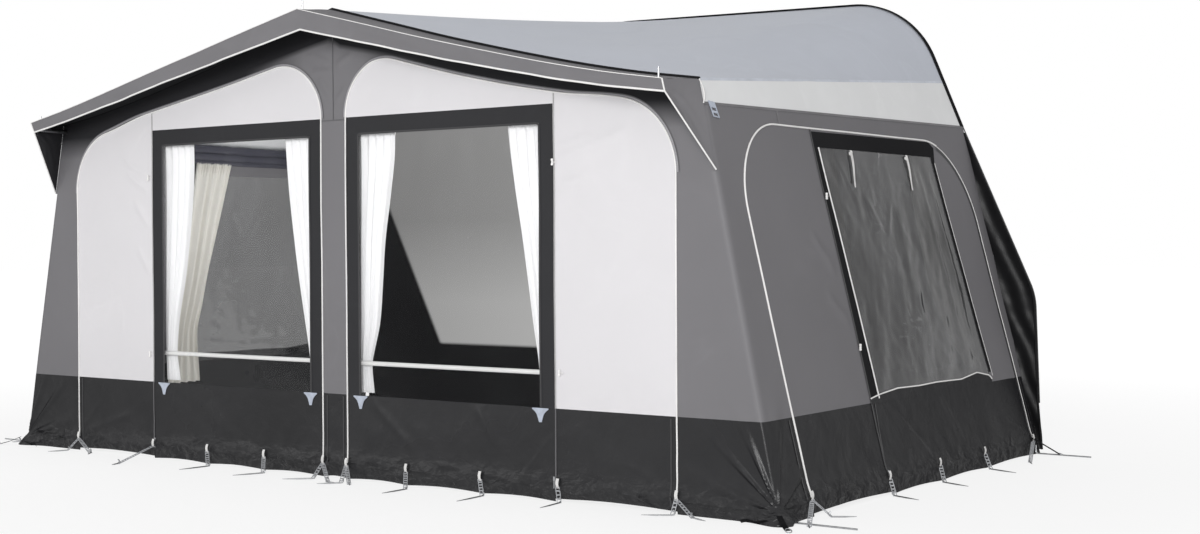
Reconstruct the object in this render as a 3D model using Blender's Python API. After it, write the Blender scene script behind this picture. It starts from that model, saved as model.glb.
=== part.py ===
"""Caravan awning: fabric shell, telescopic frame, curtains, zips and corner pegs.

World frame: X across the awning, Y from the front wall to the rear edge, Z up from the ground.
The origin is on the ground, in the middle of the awning's length and width.
All lengths are metres. A value whose name ends in SHARE or SHARES is a plain ratio.
"""

import math

import bmesh
import bpy
from mathutils import Matrix, Vector

# Overall shape
HALF_WIDTH = 2.495
AWNING_DEPTH = 2.79
SIDE_LEAN_SHARE = 0.21
REAR_LEAN_SHARE = 0.09
MUDWALL_HEIGHT = 0.41
WALL_TOP_FRONT_HEIGHT = 1.715
WALL_TOP_RISE = 0.038
ROOF_BAND_FRONT_HEIGHT = 0.1
ROOF_BAND_REAR_HEIGHT = 0.247
GABLE_RISE = 0.468
RIDGE_RISE = 0.204

# Fabric and the gaps between pieces
FABRIC = 0.003
FILM = 0.0015
PIECE_GAP = 0.0003
SLANT_GAP = 0.0008

# Front gable, as shares of the half width and of the drop from ridge to eave
GABLE_SHARES = ((0.0, 0.0), (0.2, 0.235), (0.38, 0.445), (0.67, 0.745), (0.85, 0.9), (1.0, 1.0))

# Rear rail line of the bead and the roof's rear edge
RAIL_SHOULDER_INSET = 0.636
RAIL_SHOULDER_DROP = 0.042
RAIL_SHOULDER_RADIUS = 0.5
RAIL_HIP_OVERHANG = 0.005
RAIL_HIP_HEIGHT = 0.85
RAIL_HIP_RADIUS = 0.35
RAIL_END_HEIGHT = 0.27
BEAD_RADIUS = 0.0035
ROOF_TOP_POINTS = 15
ROOF_BAND_POINTS = 4
ROOF_ROWS = 6

# Canopy over the front wall
CANOPY_REACH = 0.235
FASCIA_FOOT_REACH = 0.215
FASCIA_END_INSET = 0.03085
FASCIA_TOP_DROP = 0.021
FASCIA_TOP_END_DROP = 0.012
FASCIA_HEIGHT = 0.096
FASCIA_END_HEIGHT = 0.051
WING_FOOT_DROP = 0.277
CANOPY_COLUMNS = 10

# Front wall panels
STRIP_HALF_WIDTH = 0.083
CORNER_STRIP_FOOT_WIDTH = 0.499
FRONT_DOOR_WIDTH = 0.641
WHITE_PEAK_DROP = 0.179
WHITE_CORNER_DROP = 0.3992
CORNER_ARC_RADIUS = 0.33
STRIP_ARC_RADIUS = 0.27
WINDOW_TOP_DROP = 0.349
WINDOW_BORDER = 0.083
DOOR_FLOOR_CLEARANCE = 0.012
ARC_STEPS = 8

# Side wall panels: distances along the ground, and how far each edge leans forward as it rises
SIDE_ZIP_Y = 0.27
SIDE_ZIP_LEAN_SHARE = 0.06
SIDE_DOOR_WIDTH = 0.724
SIDE_DOOR_EDGE_LEAN_SHARE = 0.072
SIDE_REAR_ZIP_MARGIN = 0.07
SIDE_REAR_ZIP_LEAN_SHARE = 0.125
SIDE_ARCH_DROP = 0.06
SIDE_ARCH_FRONT_RADIUS = 0.36
SIDE_ARCH_REAR_RADIUS = 0.5
SIDE_SEAM_OFFSET = 0.33
SIDE_FILM_FRONT_BORDER = 0.097
SIDE_FILM_FRONT_LEAN_SHARE = 0.106
SIDE_FILM_REAR_BORDER = 0.322
SIDE_FILM_REAR_LEAN_SHARE = 0.175
SIDE_FILM_TOP_BORDER = 0.085

# Sealing flap between the side wall and the rail
FLAP_THICKNESS = 0.018
FLAP_TOP_DROP = 0.073
FLAP_EDGE_GAP = 0.001
FLAP_FLOOR_CLEARANCE = 0.02

# Poles
LOWER_TUBE_RADIUS = 0.0125
LOWER_TUBE_WALL = 0.0012
UPPER_TUBE_RADIUS = 0.011
LOWER_TUBE_LENGTH = 1.15
TUBE_OVERLAP = 0.3
COLLAR_WALL = 0.006
COLLAR_LENGTH = 0.05
FOOT_RADIUS = 0.018
UPRIGHT_Y = 0.05
ARM_BEND_RADIUS = 0.03
ARM_DROP = 0.03
ARM_TIP_INSET = 0.035
ARM_END_INSET = 0.038
PIN_RADIUS = 0.004
PIN_RISE = 0.045
EYELET_CLEARANCE = 0.001
CANOPY_RAIL_RADIUS = 0.009
CANOPY_RAIL_SLACK = 0.004
ROOF_POLE_RADIUS = 0.0125
ROOF_POLE_SLACK = 0.006
BAR_RADIUS = 0.011
BAR_RISE = 0.155
BAR_END_MARGIN = 0.03
TUBE_SIDES = 16
POLE_ARC_STEPS = 3
TRIM_ARC_STEPS = 2
BALL_STEPS = 12
LEVER_WIDTH = 0.016
LEVER_THICKNESS = 0.012
LEVER_LENGTH = 0.045
LEVER_BEVEL = 0.003

# Curtains and their track
TRACK_DEPTH = 0.025
TRACK_HEIGHT = 0.02
CURTAIN_THICKNESS = 0.0016
CURTAIN_FOLD_DEPTH = 0.026
CURTAIN_TOP_RISE = 0.02
CURTAIN_FOOT_CLEARANCE = 0.01
CURTAIN_DRIFT = 0.016
CURTAIN_HIDDEN_WIDTH = 0.045
CURTAIN_FOLDS = 5
CURTAIN_TOP_DEPTH_SHARE = 0.55
CURTAIN_FOLD_SHARE = 0.9
CURTAIN_RIPPLE_SHARE = 0.2
CURTAIN_COLUMNS = 30
CURTAIN_ROWS = 10
CURTAIN_HEIGHT_SHARES = (0.0, 0.25, 0.5, 0.72, 0.86, 1.0)
OUTER_CURTAIN_WIDTH = 0.3
OUTER_CURTAIN_WIDTH_SHARES = (0.8, 0.88, 0.92, 0.75, 0.55, 0.68)
INNER_CURTAIN_WIDTH = 0.22
INNER_CURTAIN_WIDTH_SHARES = (1.0, 0.86, 0.66, 0.42, 0.22, 0.3)

# Zip sliders and corner pegs
SLIDER_WIDTH = 0.01
SLIDER_LENGTH = 0.018
SLIDER_THICKNESS = 0.006
SLIDER_EDGE_MARGIN = 0.002
SLIDER_REST_HEIGHT = 0.1
PULLER_WIDTH = 0.005
PULLER_LENGTH = 0.034
PEG_RADIUS = 0.004
PEG_LENGTH = 0.3
PEG_HOOK = 0.03
PEG_HOOK_RADIUS = 0.014
PEG_INSET_Y = 0.07

# Derived heights
WALL_TOP_REAR_HEIGHT = WALL_TOP_FRONT_HEIGHT + WALL_TOP_RISE
EAVE_FRONT_HEIGHT = WALL_TOP_FRONT_HEIGHT + ROOF_BAND_FRONT_HEIGHT
EAVE_REAR_HEIGHT = WALL_TOP_REAR_HEIGHT + ROOF_BAND_REAR_HEIGHT
RIDGE_FRONT_HEIGHT = EAVE_FRONT_HEIGHT + GABLE_RISE
RIDGE_REAR_HEIGHT = RIDGE_FRONT_HEIGHT + RIDGE_RISE
RAIL_SHOULDER_HEIGHT = RIDGE_REAR_HEIGHT - RAIL_SHOULDER_DROP
FASCIA_TOP_HEIGHT = RIDGE_FRONT_HEIGHT - FASCIA_TOP_DROP
FASCIA_TOP_END_HEIGHT = EAVE_FRONT_HEIGHT - FASCIA_TOP_END_DROP
FASCIA_FOOT_HEIGHT = FASCIA_TOP_HEIGHT - FASCIA_HEIGHT
FASCIA_FOOT_END_HEIGHT = FASCIA_TOP_END_HEIGHT - FASCIA_END_HEIGHT
WING_FOOT_HEIGHT = WALL_TOP_FRONT_HEIGHT - WING_FOOT_DROP
WHITE_PEAK_HEIGHT = RIDGE_FRONT_HEIGHT - WHITE_PEAK_DROP
WINDOW_TOP_HEIGHT = WHITE_PEAK_HEIGHT - WINDOW_TOP_DROP
SIDE_ARCH_HEIGHT = WALL_TOP_FRONT_HEIGHT - SIDE_ARCH_DROP
SIDE_FILM_TOP_HEIGHT = SIDE_ARCH_HEIGHT - SIDE_FILM_TOP_BORDER
FLAP_TOP_HEIGHT = WALL_TOP_REAR_HEIGHT - FLAP_TOP_DROP
BAR_HEIGHT = MUDWALL_HEIGHT + BAR_RISE
CURTAIN_TOP_HEIGHT = WINDOW_TOP_HEIGHT + CURTAIN_TOP_RISE
CURTAIN_FOOT_HEIGHT = MUDWALL_HEIGHT + CURTAIN_FOOT_CLEARANCE

# Derived places across, on the right-hand half
RAIL_SHOULDER_X = HALF_WIDTH - RAIL_SHOULDER_INSET
RAIL_HIP_X = HALF_WIDTH + RAIL_HIP_OVERHANG
EAVE_FRONT_X = HALF_WIDTH - SIDE_LEAN_SHARE * EAVE_FRONT_HEIGHT
FASCIA_HALF_WIDTH = EAVE_FRONT_X - FASCIA_END_INSET
CORNER_ZIP_X = HALF_WIDTH - CORNER_STRIP_FOOT_WIDTH
WINDOW_EDGE_X = CORNER_ZIP_X - FRONT_DOOR_WIDTH
ARM_END_X = FASCIA_HALF_WIDTH - ARM_END_INSET

# Derived places behind the front wall, on the ground
SIDE_DOOR_EDGE_Y = SIDE_ZIP_Y + SIDE_DOOR_WIDTH
SIDE_REAR_ZIP_Y = AWNING_DEPTH - SIDE_REAR_ZIP_MARGIN
SIDE_SEAM_Y = SIDE_ZIP_Y + SIDE_SEAM_OFFSET
SIDE_FILM_FRONT_Y = SIDE_DOOR_EDGE_Y + SIDE_FILM_FRONT_BORDER
SIDE_FILM_REAR_Y = SIDE_REAR_ZIP_Y - SIDE_FILM_REAR_BORDER
ARM_REACH = CANOPY_REACH - ARM_TIP_INSET

# Derived sizes and directions
LOWER_TUBE_BORE_RADIUS = LOWER_TUBE_RADIUS - LOWER_TUBE_WALL
COLLAR_RADIUS = LOWER_TUBE_RADIUS + COLLAR_WALL
HALF_GAP = PIECE_GAP / 2
FRONT_Y = (CANOPY_REACH - AWNING_DEPTH + REAR_LEAN_SHARE * FLAP_FLOOR_CLEARANCE) / 2
LEAN_FACTOR = math.hypot(1.0, SIDE_LEAN_SHARE)
HANDS = ((-1, "left"), (1, "right"))
FORWARD = Vector((0.0, -1.0, 0.0))
UPWARD = Vector((0.0, 0.0, 1.0))


def remove_scene_objects():
    for thing in list(bpy.data.objects):
        bpy.data.objects.remove(thing, do_unlink=True)


def material(name, colour, roughness, metallic=0.0, alpha=1.0):
    made = bpy.data.materials.new(name)
    made.use_nodes = True
    shader = made.node_tree.nodes["Principled BSDF"]
    shader.inputs["Base Color"].default_value = (*colour, 1.0)
    shader.inputs["Roughness"].default_value = roughness
    shader.inputs["Metallic"].default_value = metallic
    shader.inputs["Alpha"].default_value = alpha
    return made


def add_object(name, mesh, finish):
    thing = bpy.data.objects.new(name, mesh)
    bpy.context.collection.objects.link(thing)
    mesh.materials.append(finish)
    return thing


def mesh_from(bm, name):
    mesh = bpy.data.meshes.new(name)
    bm.to_mesh(mesh)
    bm.free()
    return mesh


def rounded(points, radii, steps=ARC_STEPS):
    """The open path through points, with an arc of the given radius at each one whose radius isn't zero."""
    path = [points[0]]
    for before, corner, after, radius in zip(points, points[1:], points[2:], radii[1:]):
        if radius == 0.0:
            path.append(corner)
            continue
        back = (before - corner).normalized()
        ahead = (after - corner).normalized()
        half = back.angle(ahead) / 2
        centre = corner + (back + ahead).normalized() * (radius / math.sin(half))
        start = corner + back * (radius / math.tan(half)) - centre
        end = corner + ahead * (radius / math.tan(half)) - centre
        turn = math.pi - 2 * half
        for step in range(steps + 1):
            share = step / steps
            weight = math.sin((1 - share) * turn), math.sin(share * turn)
            path.append(centre + (start * weight[0] + end * weight[1]) / math.sin(turn))
    path.append(points[-1])
    return path


def resampled(path, count):
    """count points at equal distances along the path."""
    lengths = [0.0]
    for a, b in zip(path, path[1:]):
        lengths.append(lengths[-1] + (b - a).length)
    found = []
    for step in range(count):
        target = lengths[-1] * step / (count - 1)
        index = 0
        while index < len(path) - 2 and lengths[index + 1] < target:
            index += 1
        share = (target - lengths[index]) / (lengths[index + 1] - lengths[index])
        found.append(path[index].lerp(path[index + 1], share))
    return found


def table_value(table, share):
    """The table's value at share, on a smooth curve through its points."""
    for index in range(len(table) - 1):
        if share <= table[index + 1][0]:
            break
    (a, value_a), (b, value_b) = table[index], table[index + 1]
    before = table[index - 1] if index else (2 * a - b, 2 * value_a - value_b)
    after = table[index + 2] if index + 2 < len(table) else (2 * b - a, 2 * value_b - value_a)
    slope_a = (value_b - before[1]) / (b - before[0])
    slope_b = (after[1] - value_a) / (after[0] - a)
    t = (share - a) / (b - a)
    span = b - a
    return (
        (2 * t**3 - 3 * t**2 + 1) * value_a
        + (t**3 - 2 * t**2 + t) * span * slope_a
        + (3 * t**2 - 2 * t**3) * value_b
        + (t**3 - t**2) * span * slope_b
    )


def add_thickness(thing, thickness, offset=-1.0):
    solidify = thing.modifiers.new("thickness", "SOLIDIFY")
    solidify.thickness = thickness
    solidify.offset = offset
    solidify.use_even_offset = True


def slab(name, parts, finish):
    """A flat or folded piece. Each part is its outer points and the step from them to its inner face."""
    bm = bmesh.new()
    steps = {}
    for points, step in parts:
        face = bm.faces.new([bm.verts.new(point) for point in points])
        face.normal_update()
        if face.normal.dot(step) > 0:
            face.normal_flip()
        face.material_index = len(steps)
        steps[face.material_index] = step
    bmesh.ops.remove_doubles(bm, verts=bm.verts, dist=PIECE_GAP / 10)
    moves = []
    for vert in bm.verts:
        move = Vector((0.0, 0.0, 0.0))
        for face in vert.link_faces:
            move += steps[face.material_index]
        moves.append((vert.co + move, vert.co.copy()))
    grown = bmesh.ops.extrude_face_region(bm, geom=bm.faces[:])
    for vert in (item for item in grown["geom"] if isinstance(item, bmesh.types.BMVert)):
        vert.co = next(inner for inner, outer in moves if (outer - vert.co).length < PIECE_GAP / 10)
    for face in bm.faces:
        face.material_index = 0
    bmesh.ops.recalc_face_normals(bm, faces=bm.faces)
    return add_object(name, mesh_from(bm, name), finish)


def cut(thing, start, end, radius):
    """A round hole through the object, along the line from start to end."""
    bm = bmesh.new()
    middle = (start + end) / 2
    turn = (end - start).to_track_quat("Z", "Y").to_matrix().to_4x4()
    bmesh.ops.create_cone(
        bm,
        cap_ends=True,
        segments=TUBE_SIDES,
        radius1=radius,
        radius2=radius,
        depth=(end - start).length,
        matrix=Matrix.Translation(middle) @ turn,
    )
    cutter = bpy.data.objects.new(f"cutter_for_{thing.name}", mesh_from(bm, "cutter"))
    bpy.context.collection.objects.link(cutter)
    cutter.hide_render = True
    cutter.display_type = "WIRE"
    boolean = thing.modifiers.new("hole", "BOOLEAN")
    boolean.operation = "DIFFERENCE"
    boolean.solver = "EXACT"
    boolean.object = cutter


def rod(name, path, radius, finish, point_radii=None, arc_steps=POLE_ARC_STEPS):
    """A round bar along the path, with flat ends."""
    curve = bpy.data.curves.new(name, "CURVE")
    curve.dimensions = "3D"
    curve.bevel_depth = radius
    curve.bevel_resolution = arc_steps
    curve.use_fill_caps = True
    spline = curve.splines.new("POLY")
    spline.points.add(len(path) - 1)
    for index, point in enumerate(path):
        spline.points[index].co = (*point, 1.0)
        spline.points[index].radius = point_radii[index] / radius if point_radii else 1.0
    thing = bpy.data.objects.new(name, curve)
    bpy.context.collection.objects.link(thing)
    curve.materials.append(finish)
    return thing


def gable_height(x, peak, end, half_width):
    """Height of a gable line at x, with its given peak and end heights."""
    share = min(abs(x) / half_width, 1.0)
    return peak - (peak - end) * table_value(GABLE_SHARES, share)


def side_x(z):
    return HALF_WIDTH - SIDE_LEAN_SHARE * z


def rear_y(z):
    return AWNING_DEPTH - REAR_LEAN_SHARE * z


def wall_rear_y(z):
    """The rear edge of the walls and the roof, just in front of the bead."""
    return rear_y(z) - 2 * BEAD_RADIUS - PIECE_GAP


def seam_height(x):
    return gable_height(x, RIDGE_FRONT_HEIGHT, EAVE_FRONT_HEIGHT, EAVE_FRONT_X)


def fascia_top(x):
    return gable_height(x, FASCIA_TOP_HEIGHT, FASCIA_TOP_END_HEIGHT, FASCIA_HALF_WIDTH)


def fascia_foot(x):
    return gable_height(x, FASCIA_FOOT_HEIGHT, FASCIA_FOOT_END_HEIGHT, FASCIA_HALF_WIDTH)


def white_top(x):
    return WHITE_PEAK_HEIGHT - WHITE_CORNER_DROP * abs(x) / CORNER_ZIP_X


def front(sign, point, depth=0.0):
    """A point of the front wall's outer face, from (x, z) on the right-hand half."""
    return Vector((sign * point[0], FRONT_Y + depth, point[1]))


def side(sign, point, depth=0.0):
    """A point of a side wall's outer face, from (y behind the front wall, z), moved inwards by depth."""
    y, z = point
    return Vector((sign * (side_x(z) - depth), FRONT_Y + y, z))


def front_step(thickness=FABRIC):
    return Vector((0.0, thickness, 0.0))


def side_step(sign, thickness=FABRIC):
    return Vector((-sign * thickness * LEAN_FACTOR, 0.0, 0.0))


def front_slab(name, sign, outline, finish, thickness=FABRIC):
    return slab(name, [([front(sign, p) for p in outline], front_step(thickness))], finish)


def side_slab(name, sign, outline, finish, thickness=FABRIC):
    return slab(name, [([side(sign, p) for p in outline], side_step(sign, thickness))], finish)


def side_line(foot_y, lean_share, z, offset=0.0):
    return Vector((foot_y - lean_share * z + offset, z))


def rail_points():
    """The rail's corner points on the right-hand half, as (x, z)."""
    return [
        Vector((0.0, RIDGE_REAR_HEIGHT)),
        Vector((RAIL_SHOULDER_X, RAIL_SHOULDER_HEIGHT)),
        Vector((side_x(WALL_TOP_REAR_HEIGHT), WALL_TOP_REAR_HEIGHT)),
        Vector((RAIL_HIP_X, RAIL_HIP_HEIGHT)),
        Vector((RAIL_HIP_X, RAIL_END_HEIGHT)),
    ]


def rail_path():
    return rounded(rail_points(), [0.0, RAIL_SHOULDER_RADIUS, 0.0, RAIL_HIP_RADIUS, 0.0], 2 * ARC_STEPS)


def rail_upper_path():
    """The rail from the ridge to the side wall's top."""
    return rounded(rail_points()[:3], [0.0, RAIL_SHOULDER_RADIUS, 0.0], 2 * ARC_STEPS)


def split_at_height(path, z):
    """The part of a falling path above z, and the part below it."""
    for index in range(1, len(path)):
        if path[index][1] <= z:
            share = (path[index - 1][1] - z) / (path[index - 1][1] - path[index][1])
            middle = path[index - 1].lerp(path[index], share)
            return path[:index] + [middle], [middle] + path[index:]
    return path, path[-1:]


def roof_profiles():
    """Matching points of the roof's front and rear edges on the right-hand half, as (x, z)."""
    count = 4 * ARC_STEPS
    crest = [EAVE_FRONT_X * step / count for step in range(count + 1)]
    front_top = [Vector((x, seam_height(x))) for x in crest]
    front_band = [front_top[-1], Vector((side_x(WALL_TOP_FRONT_HEIGHT), WALL_TOP_FRONT_HEIGHT))]
    rear_top, rear_band = split_at_height(rail_upper_path(), EAVE_REAR_HEIGHT)
    front_points = resampled(front_top, ROOF_TOP_POINTS) + resampled(front_band, ROOF_BAND_POINTS)[1:]
    rear_points = resampled(rear_top, ROOF_TOP_POINTS) + resampled(rear_band, ROOF_BAND_POINTS)[1:]
    return front_points, rear_points


def roof_point(sign, front_point, rear_point, share):
    """A point of the roof's outer face, share of the way from its front edge to its rear edge."""
    x, z = front_point.lerp(rear_point, share)
    rear_edge = wall_rear_y(rear_point[1])
    return Vector((sign * x, FRONT_Y + HALF_GAP + share * (rear_edge - HALF_GAP), z))


def add_roof(finish):
    front_points, rear_points = roof_profiles()
    last = len(front_points) - 1
    bm = bmesh.new()
    bmesh.ops.create_grid(bm, x_segments=2 * last, y_segments=ROOF_ROWS, size=1.0)
    for vert in bm.verts:
        across = round(vert.co.x * last)
        along = (vert.co.y + 1) / 2
        sign = -1 if across < 0 else 1
        lift = SLANT_GAP if abs(across) == last else 0.0
        front_point, rear_point = front_points[abs(across)], rear_points[abs(across)]
        vert.co = roof_point(sign, front_point, rear_point, along) + lift * UPWARD
    add_thickness(add_object("roof_panel", mesh_from(bm, "roof_panel"), finish), FABRIC)


def add_bead(finish):
    half = [Vector((x, FRONT_Y + rear_y(z) - BEAD_RADIUS, z)) for x, z in rail_path()]
    mirrored = [Vector((-point.x, point.y, point.z)) for point in reversed(half[1:])]
    rod("awning_bead", mirrored + half, BEAD_RADIUS, finish, arc_steps=TRIM_ARC_STEPS)


def canopy_section(sign, share):
    """Seam, fascia top and fascia foot of the canopy at a share of its half width."""
    x = FASCIA_HALF_WIDTH * share
    seam_x = EAVE_FRONT_X * share
    return (
        Vector((sign * seam_x, FRONT_Y - SLANT_GAP, seam_height(seam_x))),
        Vector((sign * x, FRONT_Y - CANOPY_REACH, fascia_top(x))),
        Vector((sign * x, FRONT_Y - FASCIA_FOOT_REACH, fascia_foot(x))),
    )


def arm_end(sign):
    x = sign * ARM_END_X
    return Vector((x, FRONT_Y - ARM_REACH, fascia_top(x) - ARM_DROP))


def wing_outward(sign):
    return Vector((sign, 0.0, SIDE_LEAN_SHARE)).normalized()


def add_canopy(finish):
    faces, outwards = [], []
    for sign, _ in HANDS:
        sections = [canopy_section(sign, step / CANOPY_COLUMNS) for step in range(CANOPY_COLUMNS + 1)]
        for near, far in zip(sections, sections[1:]):
            faces.append([near[0], far[0], far[1], near[1]])
            faces.append([near[1], far[1], far[2], near[2]])
            outwards += [UPWARD, FORWARD]
        seam, top, foot = sections[-1]
        wing_foot = front(sign, (side_x(WING_FOOT_HEIGHT), WING_FOOT_HEIGHT), -SLANT_GAP)
        faces += [[seam, top, foot], [seam, foot, wing_foot]]
        outwards += [wing_outward(sign)] * 2
    bm = bmesh.new()
    for points, outward in zip(faces, outwards):
        face = bm.faces.new([bm.verts.new(point) for point in points])
        face.normal_update()
        if face.normal.dot(outward) < 0:
            face.normal_flip()
    bmesh.ops.remove_doubles(bm, verts=bm.verts, dist=PIECE_GAP / 10)
    thing = add_object("front_canopy", mesh_from(bm, "front_canopy"), finish)
    add_thickness(thing, FABRIC)
    for foot in (arm_end(-1), arm_end(1), centre_arm_end()):
        cut(thing, foot, foot + 2 * PIN_RISE * UPWARD, PIN_RADIUS + EYELET_CLEARANCE)


def white_outline(inset):
    """The white panels' outline on the right-hand half, from the corner zip over the top to the strip."""
    outer_x = CORNER_ZIP_X - inset
    inner_x = STRIP_HALF_WIDTH + inset
    points = [
        Vector((outer_x, MUDWALL_HEIGHT + abs(inset))),
        Vector((outer_x, white_top(outer_x) - inset)),
        Vector((inner_x, white_top(inner_x) - inset)),
        Vector((inner_x, MUDWALL_HEIGHT + abs(inset))),
    ]
    return rounded(points, [0.0, CORNER_ARC_RADIUS - inset, STRIP_ARC_RADIUS - inset, 0.0])


def corner_arc_foot():
    """Height at which the corner zip starts to bend over."""
    return white_outline(HALF_GAP)[1][1]


def add_gable(finish):
    """The header above the front panels, with the strip between the two windows."""
    end_height = corner_arc_foot()
    edge = white_outline(-HALF_GAP)
    half = [Vector((side_x(end_height) - FABRIC * LEAN_FACTOR - PIECE_GAP, end_height))]
    half += [Vector((edge[1][0], end_height))] + edge[2:]
    drop = FABRIC * LEAN_FACTOR + SLANT_GAP
    count = 2 * CANOPY_COLUMNS
    crest_x = side_x(EAVE_FRONT_HEIGHT) - FABRIC * LEAN_FACTOR - PIECE_GAP
    crest = []
    for step in range(count + 1):
        x = crest_x * step / count
        crest.append(Vector((x, seam_height(x) - drop)))
    right = crest + half
    outline = [front(1, p) for p in right] + [front(-1, p) for p in reversed(right[1:])]
    thing = slab("gable_panel", [(outline, front_step())], finish)
    for start, end in arm_crossings():
        reach = (end - start).normalized() * 2 * LOWER_TUBE_RADIUS
        middle = start.lerp(end, (start.y - FRONT_Y) / (start.y - end.y))
        cut(thing, middle - reach, middle + reach, UPPER_TUBE_RADIUS + PIECE_GAP)


def add_front_wall(finishes):
    white = white_outline(HALF_GAP)
    arc = white[1 : ARC_STEPS + 2]
    strip_arc = white[ARC_STEPS + 2 : -1]
    left_x = WINDOW_EDGE_X - HALF_GAP
    right_x = WINDOW_EDGE_X + HALF_GAP
    low = MUDWALL_HEIGHT + HALF_GAP
    film_top = WINDOW_TOP_HEIGHT - WINDOW_BORDER
    film_in = STRIP_HALF_WIDTH + WINDOW_BORDER
    film_out = WINDOW_EDGE_X - WINDOW_BORDER
    inner_x = STRIP_HALF_WIDTH + HALF_GAP
    for sign, hand in HANDS:
        door = [Vector((right_x, low)), white[0], *arc, Vector((right_x, white_top(right_x) - HALF_GAP))]
        place_on_axis(front_slab(f"front_door_{hand}", sign, door, finishes["white"]), front_hinge(sign))
        threshold = [
            Vector((right_x, DOOR_FLOOR_CLEARANCE)),
            Vector((CORNER_ZIP_X - HALF_GAP, DOOR_FLOOR_CLEARANCE)),
            Vector((CORNER_ZIP_X - HALF_GAP, MUDWALL_HEIGHT - HALF_GAP)),
            Vector((right_x, MUDWALL_HEIGHT - HALF_GAP)),
        ]
        lower = front_slab(f"front_door_mudwall_{hand}", sign, threshold, finishes["black"])
        place_on_axis(lower, front_hinge(sign))
        add_window_header(sign, hand, strip_arc, finishes["white"])
        frame = [
            Vector((inner_x, low)),
            Vector((inner_x, WINDOW_TOP_HEIGHT - HALF_GAP)),
            Vector((left_x, WINDOW_TOP_HEIGHT - HALF_GAP)),
            Vector((left_x, low)),
            Vector((film_out + HALF_GAP, low)),
            Vector((film_out + HALF_GAP, film_top + HALF_GAP)),
            Vector((film_in - HALF_GAP, film_top + HALF_GAP)),
            Vector((film_in - HALF_GAP, low)),
        ]
        front_slab(f"window_frame_{hand}", sign, frame, finishes["black"])
        film = [
            Vector((film_in + HALF_GAP, low)),
            Vector((film_out - HALF_GAP, low)),
            Vector((film_out - HALF_GAP, film_top - HALF_GAP)),
            Vector((film_in + HALF_GAP, film_top - HALF_GAP)),
        ]
        front_slab(f"window_film_{hand}", sign, film, finishes["film"], FILM)
    top = MUDWALL_HEIGHT - HALF_GAP
    wall = [Vector((-left_x, 0.0)), Vector((left_x, 0.0)), Vector((left_x, top)), Vector((-left_x, top))]
    front_slab("front_mudwall", 1, wall, finishes["black"])


def add_window_header(sign, hand, strip_arc, finish):
    """The white fabric above a window, with the curtain track sewn along its inner face."""
    left_x = WINDOW_EDGE_X - HALF_GAP
    low = WINDOW_TOP_HEIGHT + HALF_GAP
    track_top = WINDOW_TOP_HEIGHT + TRACK_HEIGHT
    outline = [
        Vector((STRIP_HALF_WIDTH + HALF_GAP, low)),
        Vector((left_x, low)),
        Vector((left_x, white_top(left_x) - HALF_GAP)),
        *strip_arc,
    ]
    thing = front_slab(f"window_header_{hand}", sign, outline, finish)
    bm = bmesh.new()
    bmesh.ops.create_cube(bm, size=1.0)
    length = WINDOW_EDGE_X - STRIP_HALF_WIDTH - 2 * WINDOW_BORDER
    middle_x = (WINDOW_EDGE_X + STRIP_HALF_WIDTH) / 2
    depth = TRACK_DEPTH - FABRIC / 2
    bmesh.ops.scale(bm, vec=(length, depth, TRACK_HEIGHT), verts=bm.verts)
    centre = front(sign, (middle_x, (low + FABRIC + track_top + FABRIC) / 2), FABRIC / 2 + depth / 2)
    bmesh.ops.translate(bm, vec=centre, verts=bm.verts)
    track = bpy.data.objects.new(f"track_for_{thing.name}", mesh_from(bm, "track"))
    bpy.context.collection.objects.link(track)
    track.hide_render = True
    track.display_type = "WIRE"
    union = thing.modifiers.new("track", "BOOLEAN")
    union.operation = "UNION"
    union.solver = "EXACT"
    union.object = track


def place_on_axis(thing, pivot):
    """Moves the object's origin to its joint axis and leaves its shape where it is."""
    thing.data.transform(Matrix.Translation(-pivot))
    thing.location = pivot


def front_hinge(sign):
    return front(sign, (CORNER_ZIP_X, 0.0))


def side_hinge(sign):
    return side(sign, (SIDE_ZIP_Y, 0.0))


def side_arch(inset):
    """The zip line over the side panels, from the front zip's foot to the rear zip's foot, as (y, z)."""
    low = MUDWALL_HEIGHT + abs(inset)
    top = SIDE_ARCH_HEIGHT - inset
    points = [
        side_line(SIDE_ZIP_Y, SIDE_ZIP_LEAN_SHARE, low, inset),
        side_line(SIDE_ZIP_Y, SIDE_ZIP_LEAN_SHARE, top, inset),
        side_line(SIDE_REAR_ZIP_Y, SIDE_REAR_ZIP_LEAN_SHARE, top, -inset),
        side_line(SIDE_REAR_ZIP_Y, SIDE_REAR_ZIP_LEAN_SHARE, low, -inset),
    ]
    return rounded(points, [0.0, SIDE_ARCH_FRONT_RADIUS - inset, SIDE_ARCH_REAR_RADIUS - inset, 0.0])


def wall_top(y):
    share = y / AWNING_DEPTH
    return WALL_TOP_FRONT_HEIGHT + (WALL_TOP_REAR_HEIGHT - WALL_TOP_FRONT_HEIGHT) * share


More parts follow.
